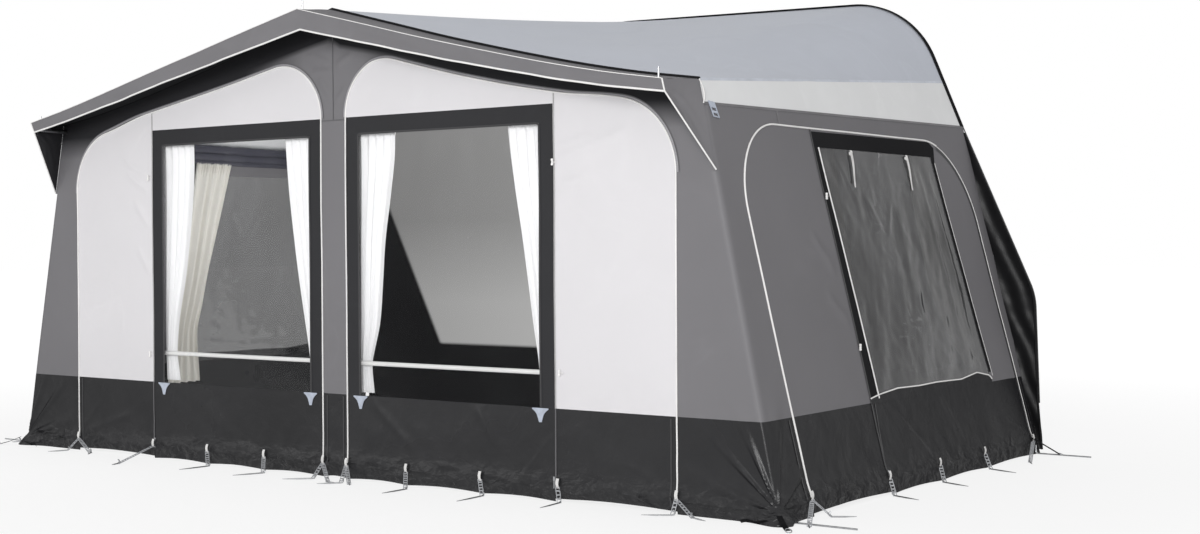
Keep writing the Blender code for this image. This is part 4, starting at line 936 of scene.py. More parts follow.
def cut_outline(outline, spacing):
    """A flat panel of the outline, cut into a grid by parallel planes."""
    bm = bmesh.new()
    bm.faces.new([bm.verts.new((a, b, 0.0)) for a, b in outline])
    for axis in (0, 1):
        low = min(point[axis] for point in outline)
        length = max(point[axis] for point in outline) - low
        count = math.ceil(length / spacing)
        for step in range(1, count):
            place, normal = Vector((0.0, 0.0, 0.0)), Vector((0.0, 0.0, 0.0))
            place[axis] = low + length * step / count
            normal[axis] = 1.0
            everything = bm.verts[:] + bm.edges[:] + bm.faces[:]
            bmesh.ops.bisect_plane(bm, geom=everything, dist=1e-6, plane_co=place, plane_no=normal)
    return bm


def grid(columns, rows, width=1.0, length=1.0):
    """A flat grid from the origin to (width, length)."""
    bm = bmesh.new()
    bmesh.ops.create_grid(bm, x_segments=columns, y_segments=rows, size=0.5)
    bmesh.ops.translate(bm, vec=(0.5, 0.5, 0.0), verts=bm.verts)
    bmesh.ops.scale(bm, vec=(width, length, 1.0), verts=bm.verts)
    return bm


def add_flat_map(bm, shift=0.0):
    """Keeps where each point lay while the cloth was flat, in metres."""
    layer = bm.loops.layers.uv.new("cloth")
    for face in bm.faces:
        for loop in face.loops:
            loop[layer].uv = (loop.vert.co.x, loop.vert.co.y + shift)


def hang(bm, place):
    """Moves each point of a flat panel to its place."""
    for vert in bm.verts:
        vert.co = place(vert.co.x, vert.co.y)


def turn_outwards(bm, outward):
    """Turns the faces of an open sheet so that they point the given way."""
    bm.normal_update()
    total = Vector((0.0, 0.0, 0.0))
    for face in bm.faces:
        total += face.normal * face.calc_area()
    if total.dot(outward) < 0:
        bmesh.ops.reverse_faces(bm, faces=bm.faces)
        bm.normal_update()


def add_object(name, data):
    thing = bpy.data.objects.new(name, data)
    bpy.context.scene.collection.objects.link(thing)
    return thing


def mesh_object(name, bm):
    """An object with a bmesh's faces; the bmesh is used up."""
    mesh = bpy.data.meshes.new(name)
    bm.to_mesh(mesh)
    bm.free()
    return add_object(name, mesh)


def add_piece(name, bm, materials, body="shell", sharp=40.0):
    """A finished mesh object with its materials, that rides on a body."""
    piece = mesh_object(name, bm)
    piece.data.shade_smooth()
    piece.data.set_sharp_from_angle(angle=math.radians(sharp))
    for material in materials:
        piece.data.materials.append(bpy.data.materials[f"awning_{material}"])
    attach(piece, body)
    return piece


def surface_area(bm):
    return sum(face.calc_area() for face in bm.faces)


def clean_up(bm):
    """Merges doubles and turns the faces of a closed shape outwards."""
    bmesh.ops.remove_doubles(bm, verts=bm.verts, dist=1e-6)
    bmesh.ops.recalc_face_normals(bm, faces=bm.faces)


def make_solid(bm, thickness):
    bmesh.ops.solidify(bm, geom=bm.faces[:], thickness=thickness)
    bmesh.ops.recalc_face_normals(bm, faces=bm.faces)


def open_cells(bm, rim, kept=0):
    """Insets each face of a flat grid and opens its middle, but for the topmost ones that are kept."""
    rims = set(bmesh.ops.inset_individual(bm, faces=bm.faces[:], thickness=rim)["faces"])
    middles = [face for face in bm.faces if face not in rims]
    middles.sort(key=lambda face: face.calc_center_median().y)
    bmesh.ops.delete(bm, geom=middles[: len(middles) - kept], context="FACES")
    bmesh.ops.remove_doubles(bm, verts=bm.verts, dist=1e-6)


def cloth_piece(name, bm, outward, materials, body="shell", thickness=None, sharp=40.0):
    """An open sheet turned outwards and given its thickness, as a piece, and the sheet's area.

    Its inner face and rim have the second material if there is one.
    """
    area = surface_area(bm)
    turn_outwards(bm, outward)
    outer = set(bm.faces)
    thickness = thickness or sizes().cloth
    bmesh.ops.solidify(bm, geom=bm.faces[:], thickness=thickness)
    for face in bm.faces:
        if face not in outer:
            face.material_index = len(materials) - 1
    bm.normal_update()
    return add_piece(name, bm, materials, body, sharp), area


def declare_cloth(piece, area, size):
    """Works out the size that a cloth piece was cut to, a thin outline as a strip; the result is not kept."""
    width, length = size
    if area < 0.34 * width * length:
        length = width + length
        width = area / length
    min(area, width * length)


def cloth_panel(
    name, outline, place, outward, material, node=None, body="shell", thickness=None, detail=1.0
):
    """A cloth piece cut to an outline and hung on its wall; detail makes its grid finer."""
    bm = cut_outline(outline, sizes().spacing / detail)
    area = surface_area(bm)
    add_flat_map(bm)
    hang(bm, place)
    piece = cloth_piece(name, bm, outward, [material], body, thickness)[0]
    if node:
        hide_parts(node)
    spans = [max(p[axis] for p in outline) - min(p[axis] for p in outline) for axis in (0, 1)]
    declare_cloth(piece, area, spans)


def tube(name, path, radius, material, body="shell", closed=False, taper=None, sides=3):
    """A round cord, rod or piping along a path, with closed ends."""
    curve = bpy.data.curves.new(name, "CURVE")
    curve.dimensions = "3D"
    curve.bevel_depth = radius
    curve.bevel_resolution = sides
    curve.use_fill_caps = True
    spline = curve.splines.new("POLY")
    spline.points.add(len(path) - 1)
    spline.use_cyclic_u = closed
    for index, point in enumerate(path):
        spline.points[index].co = (*point, 1.0)
        spline.points[index].radius = taper[index] if taper else 1.0
    guide = add_object(name, curve)
    bpy.context.view_layer.update()
    mesh = bpy.data.meshes.new_from_object(guide.evaluated_get(bpy.context.evaluated_depsgraph_get()))
    bpy.data.objects.remove(guide)
    bm = bmesh.new()
    bm.from_mesh(mesh)
    clean_up(bm)
    return add_piece(name, bm, [material], body)


def ribbon(name, path, across, width, thickness, material, slot=None):
    """A flat tape along a path. across gives the sideways direction at each point of the path."""
    lengths = path_lengths(path)
    bm = grid(2, len(path) - 1, width, 1.0)
    rows = {vert: round(vert.co.y * (len(path) - 1)) for vert in bm.verts}
    for vert in bm.verts:
        vert.co = Vector((vert.co.x - width / 2, lengths[rows[vert]], 0.0))
    add_flat_map(bm)
    for vert in bm.verts:
        vert.co = path[rows[vert]] + across[rows[vert]] * vert.co.x
    bm.normal_update()
    make_solid(bm, thickness)
    add_piece(name, bm, [material])


def wall_tape(name, outline, place, width, material, out=0.001):
    """A tape on a wall's cloth along an outline of (across, height) points."""
    flat = spaced([Vector(point) for point in outline], TRIM_SPACING)
    path = [place(a, b, out) for a, b in flat]
    sideways = []
    for index, (a, b) in enumerate(flat):
        ahead = flat[min(index + 1, len(flat) - 1)] - flat[max(index - 1, 0)]
        left = Vector((-ahead.y, ahead.x)).normalized() * width
        span = place(a + left.x, b + left.y, out) - place(a - left.x, b - left.y, out)
        sideways.append(span.normalized())
    ribbon(name, path, sideways, width, TAPE_THICKNESS, material)


def wall_piping(name, outline, place, radius, out=0.0):
    """Piping that lies on a wall's cloth along an outline."""
    flat = spaced([Vector(point) for point in outline], TRIM_SPACING)
    path = [place(a, b, out + radius * 0.6) for a, b in flat]
    tube(name, path, radius, "white_piping")


def lathe(name, profile, start, end, material, body):
    """A turned piece along the line from start to end; profile is (distance along, radius)."""
    bm = bmesh.new()
    verts = [bm.verts.new((radius, 0.0, along)) for along, radius in profile]
    edges = [bm.edges.new(pair) for pair in zip(verts, verts[1:])]
    turned = {"axis": UP, "cent": (0.0, 0.0, 0.0), "steps": LATHE_STEPS, "angle": 2 * math.pi}
    bmesh.ops.spin(bm, geom=verts + edges, use_merge=True, **turned)
    clean_up(bm)
    turn = (end - start).to_track_quat("Z", "Y").to_matrix().to_4x4()
    bmesh.ops.transform(bm, matrix=Matrix.Translation(start) @ turn, verts=bm.verts)
    add_piece(name, bm, [material], body)


# Roof

ROOF_COLUMNS = 64
BAND_COLUMNS = 12
ROOF_ROWS = 110
REAR_BINDING_WIDTH = 0.04
REAR_BINDING_THICKNESS = 0.0026
ROOF_SEAM_TAPE = (0.012, 0.0008)
BAND_EDGING_RADIUS = 0.0028


def roof_profiles():
    """Front and rear edge of the roof cloth and of its side band on the right-hand half, as (x, z) paths."""
    crest = [EAVE_FRONT_X * step / 200 for step in range(201)]
    front_top = [Vector((x, seam_height(x))) for x in crest]
    front_band = [front_top[-1], Vector((side_x(WALL_TOP_FRONT_HEIGHT), WALL_TOP_FRONT_HEIGHT))]
    rear_top, rear_band = split_at_height(rail_path(0, 3), EAVE_REAR_HEIGHT)
    return (front_top, rear_top), (front_band, rear_band)


def roof_surface(profiles, columns):
    """The place of a roof point from its share across one profile pair and its share to the rear."""
    front_points = resampled(profiles[0], columns + 1)
    rear_points = resampled(profiles[1], columns + 1)

    def place(column, along, sag):
        front, rear = front_points[column], rear_points[column]
        x, z = front.lerp(rear, along)
        y = FRONT_Y + along * wall_rear_y(rear[1])
        return Vector((x, y, z - sag))

    return place


# Folds over the roof's rear hump, in shares across and along it
ROOF_FOLDS = (
    ((0.93, 0.57), (0.79, 0.92), 0.022, 0.0095),
    ((0.95, 0.48), (0.81, 0.73), 0.02, 0.0085),
    ((0.88, 0.5), (0.79, 0.62), 0.018, 0.006),
    ((0.9, 0.76), (0.8, 0.97), 0.018, 0.0055),
)


def roof_sag(across, along, sign):
    """How far the roof cloth hangs: across is 0 at the ridge and 1 at the eave."""
    span = math.sin(math.pi * min(along, 1.0))
    field = max(math.sin(math.pi * min(across, 1.0)), 0.0) ** 0.8
    ridge_dip = 0.35 * math.exp(-((across / 0.25) ** 2))
    tension = ripple(sign * across * 2.1, along * 2.7, 0.7, 31.0) * 0.15
    folds = ridge(ripple(along * 2.7 + across, sign * across * 1.5, 0.5, 33.0), 0.05) * 0.12
    shape = field * (0.75 + tension) + ridge_dip
    straight = fold_depth(across, along, ROOF_FOLDS) * ease(1 - across, 0.08)
    return sizes().roof_sag * span * (shape + folds * field) - straight


def roof_half(profiles, columns, sign, is_band):
    """One side's half of the roof cloth, or its band, before it has a thickness."""
    place = roof_surface(profiles, columns)
    bm = grid(columns, ROOF_ROWS)
    cells = {vert: (round(vert.co.x * columns), vert.co.y) for vert in bm.verts}
    width = path_lengths(profiles[0])[-1]
    for vert in bm.verts:
        vert.co.x *= width
        vert.co.y *= AWNING_DEPTH
    add_flat_map(bm, sizes().spacing)
    for vert, (column, along) in cells.items():
        across = column / columns
        if is_band:
            sag = -0.008 * math.sin(math.pi * across) * math.sin(math.pi * along)
            sag -= 0.004 * ripple(along * 2.7, across, 0.4, 35.0 + sign) * math.sin(math.pi * along)
        else:
            sag = roof_sag(across, along, sign)
        point = place(column, along, sag)
        vert.co = Vector((sign * point.x, point.y, point.z))
    return bm


def join_halves(bm, other):
    """Adds another bmesh's faces to the first one and merges the line where they meet."""
    mesh = bpy.data.meshes.new("half")
    other.to_mesh(mesh)
    other.free()
    bm.from_mesh(mesh)
    bpy.data.meshes.remove(mesh)
    bmesh.ops.remove_doubles(bm, verts=bm.verts, dist=1e-5)


class AWNING_OT_roof(bpy.types.Operator):
    """Make the roof cloth, its side bands, paler partly by painted light, and their seams"""

    bl_idname = "awning.roof"
    bl_label = "Roof"

    def execute(self, context):
        top, band = roof_profiles()
        left, bm = (roof_half(top, ROOF_COLUMNS, sign, False) for sign, hand in HANDS)
        for half in (bm, left):
            turn_outwards(half, UP)
        join_halves(bm, left)
        roof, area = cloth_piece("roof_cloth", bm, UP, ["roof_cloth"])
        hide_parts("roof_panel")
        width = 2 * path_lengths(top[1])[-1]
        declare_cloth(roof, area, (width, AWNING_DEPTH))
        for sign, hand in HANDS:
            bm = roof_half(band, BAND_COLUMNS, sign, True)
            piece, area = cloth_piece(f"roof_band_{hand}", bm, side_outward(sign), ["band_cloth"])
            declare_cloth(piece, area, (path_lengths(band[1])[-1], AWNING_DEPTH))
            self.add_seams(sign, hand, band)
        self.add_rear_binding()
        return {"FINISHED"}

    def add_seams(self, sign, hand, band):
        """The seams above and below a side band, and the white edging at its front."""
        place = roof_surface(band, BAND_COLUMNS)
        for label, column in (("upper", 0), ("lower", BAND_COLUMNS)):
            path, across = [], []
            for row in range(ROOF_ROWS + 1):
                along = row / ROOF_ROWS
                point = place(column, along, 0.0)
                inner = place(abs(column - 1), along, 0.0)
                lift = side_outward(sign) * 0.0009
                path.append(Vector((sign * point.x, point.y, point.z)) + lift)
                across.append(Vector((sign * (inner.x - point.x), 0.0, inner.z - point.z)).normalized())
            material = "roof_seam" if label == "upper" else "grey_seam"
            ribbon(f"roof_{label}_seam_{hand}", path, across, *ROOF_SEAM_TAPE, material, slot="roof_cloth")
        path = []
        for column in range(BAND_COLUMNS + 1):
            point = place(column, 0.0, 0.0)
            bow = 0.012 * math.sin(math.pi * column / BAND_COLUMNS)
            path.append(Vector((sign * (point.x + bow), point.y - 0.002, point.z)))
        tube(f"roof_band_edging_{hand}", path, BAND_EDGING_RADIUS, "white_piping")

    def add_rear_binding(self):
        """The black binding along the roof's rear edge, over the bead."""
        half = rail_path(0, 4)
        low = wall_top(AWNING_DEPTH)
        half = spaced([point for point in half if point[1] > low], 0.03)
        back = REAR_BINDING_WIDTH / 2 + 0.002
        path = [Vector((x, FRONT_Y + rear_y(z) - back, z + REAR_BINDING_THICKNESS)) for x, z in half]
        mirrored = [Vector((-point.x, point.y, point.z)) for point in path]
        whole = list(reversed(mirrored)) + path[1:]
        across = [Vector((0.0, 1.0, 0.0))] * len(whole)
        ribbon("rear_binding", whole, across, REAR_BINDING_WIDTH, REAR_BINDING_THICKNESS, "webbing")


# Canopy


HOOD_BINDING_RADIUS = 0.0075
HOOD_CELLS = (176, 16)
HOOD_FASCIA_ROW = 10
HOOD_CUT_LENGTH = CANOPY_REACH + 0.1
HOOD_FLAT_LENGTH = CANOPY_REACH + 0.12
WING_CUT_LENGTH = 0.3
WING_FLAT_LENGTH = 0.38
LEFT_LIFT = 0.014
LEFT_STRAIGHTENING = 0.03
RIGHT_STRAIGHTENING = 0.008


def fascia_lift(share):
    """How far the fascia stands over its even line; its left half hangs straighter."""
    bow = math.sin(math.pi * min(abs(share), 1.0))
    if share < 0:
        return LEFT_LIFT * ease(-share, 1.0) + LEFT_STRAIGHTENING * bow
    return RIGHT_STRAIGHTENING * bow


def canopy_section(share):
    """Seam, fascia top and fascia foot of the canopy at a share of its half width, from -1 to 1."""
    x, seam_x = FASCIA_HALF_WIDTH * share, EAVE_FRONT_X * share
    top = gable_height(x, FASCIA_TOP_HEIGHTS, FASCIA_HALF_WIDTH) + fascia_lift(share)
    foot = gable_height(x, FASCIA_FOOT_HEIGHTS, FASCIA_HALF_WIDTH) + fascia_lift(share)
    return (
        Vector((seam_x, FRONT_Y - 0.0008, seam_height(seam_x))),
        Vector((x, FRONT_Y - CANOPY_REACH, top)),
        Vector((x, FRONT_Y - FASCIA_FOOT_REACH, foot)),
    )


def between_pins(share):
    """0 at the pins in the middle and at the ends of the fascia, 1 half way between them."""
    return max(math.sin(math.pi * min(abs(share), 1.0)), 0.0) ** 0.7


def fascia_ripple(share, down):
    """How far the fascia leaves its line; the free lower edge moves most."""
    pinned = between_pins(share)
    broad = 0.006 * ripple(share * 4.0, down, 0.6, 41.0)
    return (broad + 0.004 * ripple(share * 9.0, down, 0.5, 42.0)) * pinned


def hood_point(share, down):
    """A point on the hood: down is 0 at the seam, 1 at the fascia's top and 2 at its foot."""
    seam, top, foot = canopy_section(share)
    pinned = between_pins(share)
    if down <= 1.0:
        point = seam.lerp(top, down)
        point.z -= 0.006 * math.sin(math.pi * down) * pinned
        point.z += 0.003 * ripple(share * 6.0, down, 0.5, 43.0) * math.sin(math.pi * down)
    else:
        point = top.lerp(foot, down - 1.0)
    free = max(down - 1.0, 0.0)
    point.y -= fascia_ripple(share, down) * (0.3 + 0.7 * free) * min(down, 1.0)
    point.z -= 0.002 * pinned * free * (1 + 2 * ripple(share * 5.0, 0.0, 0.5, 44.0))
    return point


def wing_corners(sign):
    seam, top, foot = canopy_section(sign)
    wing_foot = Vector((sign * side_x(WING_FOOT_HEIGHT), FRONT_Y - 0.0008, WING_FOOT_HEIGHT))
    return seam, top, foot, wing_foot


def wing_point(sign, ahead, down, out=0.0):
    """A point of a wing: ahead is 0 at the wall and 1 at the fascia, down is 0 at the top."""
    seam, top, foot, wing_foot = wing_corners(sign)
    point = seam.lerp(wing_foot, down).lerp(top.lerp(foot, down), ahead)
    slack = math.sin(math.pi * ahead) * math.sin(math.pi * down)
    fold = 0.35 * ridge(ripple(ahead + down, ahead, 0.4, 45.0), 0.1)
    return point + side_outward(sign) * (out - 0.014 * slack * (1 - fold))


class AWNING_OT_canopy(bpy.types.Operator):
    """Make the hood over the front wall, its fascia, wings and piping"""

    bl_idname = "awning.canopy"
    bl_label = "Canopy"

    def execute(self, context):
        columns, rows = HOOD_CELLS
        bm = grid(columns, rows, 2 * FASCIA_HALF_WIDTH, HOOD_CUT_LENGTH)
        add_flat_map(bm)
        for vert in bm.verts:
            share = vert.co.x / FASCIA_HALF_WIDTH - 1
            step = round(vert.co.y / HOOD_CUT_LENGTH * rows)
            below = step - HOOD_FASCIA_ROW
            down = 1 + below / (rows - HOOD_FASCIA_ROW) if below > 0 else step / HOOD_FASCIA_ROW
            vert.co = hood_point(share, down)
        # The inner faces take header_cloth, a near-black that paints the shade under the hood.
        materials, slot = ["grey_cloth", "header_cloth"], "front_grey_cloth"
        hood, area = cloth_piece("canopy_hood", bm, AHEAD + UP, materials, sharp=50.0)
        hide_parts("front_canopy")
        length = 2 * path_lengths([hood_point(step / 50, 1.0) for step in range(51)])[-1]
        declare_cloth(hood, area, (HOOD_FLAT_LENGTH, length))
        self.add_piping(sizes().piping)
        for sign, hand in HANDS:
            self.add_wing(sign, hand, materials, slot)
        self.add_ridge_line()
        return {"FINISHED"}

    def add_piping(self, radius):
        shares = [step / 160 - 1 for step in range(321)]
        for label, down in (("upper", 1.0), ("lower", 2.0)):
            path = [hood_point(share, down) + Vector((0.0, -radius * 0.5, 0.0)) for share in shares]
            size = radius * (0.5 if label == "upper" else 1.2)
            tube(f"fascia_piping_{label}", path, size, "white_piping")

    def add_ridge_line(self):
        """The black binding over the seam between the hood and the roof."""
        path = []
        for step in range(201):
            seam_x = EAVE_FRONT_X * (step / 100 - 1)
            path.append(Vector((seam_x, FRONT_Y, seam_height(seam_x) + 0.003)))
        tube("hood_seam_binding", path, HOOD_BINDING_RADIUS, "webbing")

    def add_wing(self, sign, hand, materials, slot):
        bm = grid(14, 18, CANOPY_REACH, WING_CUT_LENGTH)
        add_flat_map(bm)
        hang(bm, lambda a, b: wing_point(sign, a / CANOPY_REACH, b / WING_CUT_LENGTH))
        wing, area = cloth_piece(f"canopy_wing_{hand}", bm, side_outward(sign), materials)
        declare_cloth(wing, area, (CANOPY_REACH, WING_FLAT_LENGTH))
        edge = [wing_point(sign, 1 - step / 40, 1.0, 0.001) for step in range(41)]
        head = [wing_point(sign, 1.0, step / 8, 0.001) for step in range(8)]
        radius = sizes().piping * 0.9
        tube(f"wing_piping_{hand}", head + edge, radius, "white_piping")


# Front wall

GABLE_END_GAP = 0.0015
CURTAIN_TRACK = (0.018, 0.006)
TRACK_INSET = 0.018
TRACK_HEIGHT = 1.77


class AWNING_OT_front_wall(bpy.types.Operator):
    """Make the front wall's panels, windows and mudwall"""

    bl_idname = "awning.front_wall"
    bl_label = "Front wall"

    def execute(self, context):
        self.add_gable()
        for sign, hand in HANDS:
            self.add_door(sign, hand)
            self.add_header(sign, hand)
            self.add_window(sign, hand)
        edge_x = WINDOW_EDGE_X - HALF_GAP
        outline = [(-edge_x, 0.0), (edge_x, 0.0), (edge_x, MUDWALL_HEIGHT), (-edge_x, MUDWALL_HEIGHT)]
        self.panel("front_mudwall_cloth", 1, outline, "black_cloth", "front_mudwall", detail=2.5)
        return {"FINISHED"}

    def panel(self, name, sign, outline, material, node, body="shell", detail=1.0):
        outline = [Vector((sign * a, b)) for a, b in outline]
        cloth_panel(name, outline, front_point, AHEAD, material, node, body, detail=detail)

    def add_gable(self):
        """The header under the hood, darkened by the hood's painted shadow, with the grey strip between the
        two windows.
        """
        edge = white_outline(-HALF_GAP)
        end_height = edge[1][1]
        half = [Vector((side_x(end_height) - GABLE_END_GAP, end_height)), Vector((edge[1][0], end_height))]
        half += edge[2:]
        crest = []
        for step in range(61):
            x = (side_x(EAVE_FRONT_HEIGHT) - GABLE_END_GAP) * step / 60
            crest.append(Vector((x, seam_height(x) - 0.004)))
        right = crest + half
        outline = right + [Vector((-x, z)) for x, z in reversed(right[1:])]
        self.panel("gable_cloth_painted_shade", 1, outline, "gable_cloth_painted_shade", "gable_panel", detail=2.0)
        level = WINDOW_TOP_HEIGHT - 0.01
        lines = {
            "middle": [(0.0, level), (0.0, RIDGE_FRONT_HEIGHT - 0.03)],
            "level": [(-STRIP_HALF_WIDTH, level), (STRIP_HALF_WIDTH, level)],
        }
        for label, line in lines.items():
            wall_tape(f"strip_seam_{label}", line, front_point, 0.005, "dark_seam", SEAM_LIFT)

    def add_door(self, sign, hand):
        white = white_outline(HALF_GAP)
        arc = white[1 : ARC_STEPS + 2]
        edge_x = WINDOW_EDGE_X + HALF_GAP
        door = [(edge_x, MUDWALL_HEIGHT), white[0], *arc, (edge_x, white_top(edge_x))]
        body, node = f"front_door_leaf_{hand}", f"front_door_{hand}"
        self.panel(f"front_door_cloth_{hand}", sign, door, "white_cloth", node, body, detail=2.0)
        zip_x = CORNER_ZIP_X - HALF_GAP
        foot = [(edge_x, DOOR_FLOOR_CLEARANCE), (zip_x, DOOR_FLOOR_CLEARANCE), (zip_x, MUDWALL_HEIGHT)]
        foot.append((edge_x, MUDWALL_HEIGHT))
        node = f"front_door_mudwall_{hand}"
        self.panel(f"front_door_foot_{hand}", sign, foot, "black_cloth", node, body, detail=2.5)

    def add_header(self, sign, hand):
        strip_arc = white_outline(HALF_GAP)[ARC_STEPS + 2 : -1]
        edge_x = WINDOW_EDGE_X - HALF_GAP
        outline = [(STRIP_HALF_WIDTH, WINDOW_TOP_HEIGHT), (edge_x, WINDOW_TOP_HEIGHT)]
        outline += [(edge_x, white_top(edge_x)), *strip_arc]
        node = f"window_header_{hand}"
        self.panel(f"window_header_cloth_{hand}", sign, outline, "white_cloth", node)
        ends = [STRIP_HALF_WIDTH + WINDOW_BORDER, WINDOW_EDGE_X - WINDOW_BORDER]
        path = [Vector((sign * x, FRONT_Y + TRACK_INSET, TRACK_HEIGHT)) for x in ends]
        ribbon(f"curtain_track_{hand}", path, [UP] * 2, *CURTAIN_TRACK, "white_plastic")

    def add_window(self, sign, hand):
        inner, outer = STRIP_HALF_WIDTH + HALF_GAP, WINDOW_EDGE_X - HALF_GAP
        film_in, film_out = inner + WINDOW_BORDER, outer - WINDOW_BORDER
        film_top = WINDOW_TOP_HEIGHT - WINDOW_BORDER
        low = MUDWALL_HEIGHT
        border = [(inner, low), (inner, WINDOW_TOP_HEIGHT), (outer, WINDOW_TOP_HEIGHT), (outer, low)]
        border += [(film_out, low), (film_out, film_top), (film_in, film_top), (film_in, low)]
        node = f"window_frame_{hand}"
        self.panel(f"window_border_{hand}", sign, border, "border_cloth", node)
        film = [(film_in, low), (film_out, low), (film_out, film_top), (film_in, film_top)]

        def place(x, z, out=0.0):
            inside = min(abs(x) - film_in, film_out - abs(x), film_top - z, z - low)
            wave = 0.004 * ripple(x, z * 0.4, 0.14, 51.0 + sign) * ease(inside, 0.1)
            return front_point(x, z, out + wave - 0.001)

        outline = [Vector((sign * a, b)) for a, b in film]
        name, node = f"window_clear_{hand}", f"window_film_{hand}"
        cloth_panel(name, outline, place, AHEAD, "window_film", node, thickness=FILM_THICKNESS)
        seam = [(film_in, low), (film_in, film_top), (film_out, film_top), (film_out, low)]
        path = [(sign * a, b) for a, b in seam]
        wall_tape(f"window_seam_{hand}", path, front_point, 0.01, "black_seam", SEAM_LIFT)


# Corners and side walls

BORDER_REAR_WIDTH = 0.03
SIDE_SILL = (
    (0.963, 0.43),
    (1.055, 0.442),
    (1.241, 0.456),
    (1.479, 0.451),
    (1.677, 0.454),
    (1.967, 0.448),
    (2.163, 0.468),
    (2.308, 0.444),
    (2.331, 0.425),
)
FILM_FOLDS = (
    ((1.11, 0.573), (1.6, 0.52), 0.012, 0.005),
    ((1.56, 0.52), (2.18, 0.552), 0.012, 0.005),
    ((1.3, 1.36), (1.42, 1.18), 0.014, 0.006),
    ((1.56, 1.34), (1.46, 1.15), 0.014, 0.006),
    ((1.95, 1.5), (2.08, 0.6), 0.018, 0.007),
    ((2.06, 1.45), (2.19, 0.62), 0.018, 0.006),
    ((1.1, 1.5), (1.22, 1.32), 0.012, 0.005),
    ((1.02, 1.54), (1.12, 1.4), 0.01, 0.004),
)


class AWNING_OT_corners(bpy.types.Operator):
    """Make the grey strips that wrap the front corners and their black feet"""

    bl_idname = "awning.corners"
    bl_label = "Corners"

    def execute(self, context):
        for sign, hand in HANDS:
            self.add_corner(sign, hand)
        return {"FINISHED"}

    def add_corner(self, sign, hand):
        outward = Vector((0.7 * sign, -0.7, 0.0))
        zip_x = CORNER_ZIP_X
        arc_foot = white_outline(HALF_GAP)[1][1]
        arch = side_arch(-HALF_GAP)
        low = MUDWALL_HEIGHT
        outline = [
            (zip_x - side_x(low), low),
            (zip_x - side_x(arc_foot), arc_foot),
            (0.0, arc_foot),
            (0.0, wall_top(0.0)),
            (SIDE_SEAM_Y, wall_top(SIDE_SEAM_Y)),
            (SIDE_SEAM_Y, SIDE_ARCH_HEIGHT),
            *reversed(arch[1 : ARC_STEPS + 2]),
            side_line(SIDE_ZIP, low),
        ]

        place = partial(corner_point, sign)
        name = f"corner_strip_{hand}"
        cloth = f"corner_cloth_{hand}"
        cloth_panel(cloth, outline, place, outward, "grey_cloth", name, detail=1.5)
        foot = [(zip_x - side_x(0.0), 0.0), side_line(SIDE_ZIP, 0.0), side_line(SIDE_ZIP, low)]
        foot.append((zip_x - side_x(low), low))
        name, node = f"corner_foot_{hand}", f"corner_mudwall_{hand}"
        cloth_panel(name, foot, place, outward, "black_cloth", node, detail=5.0)


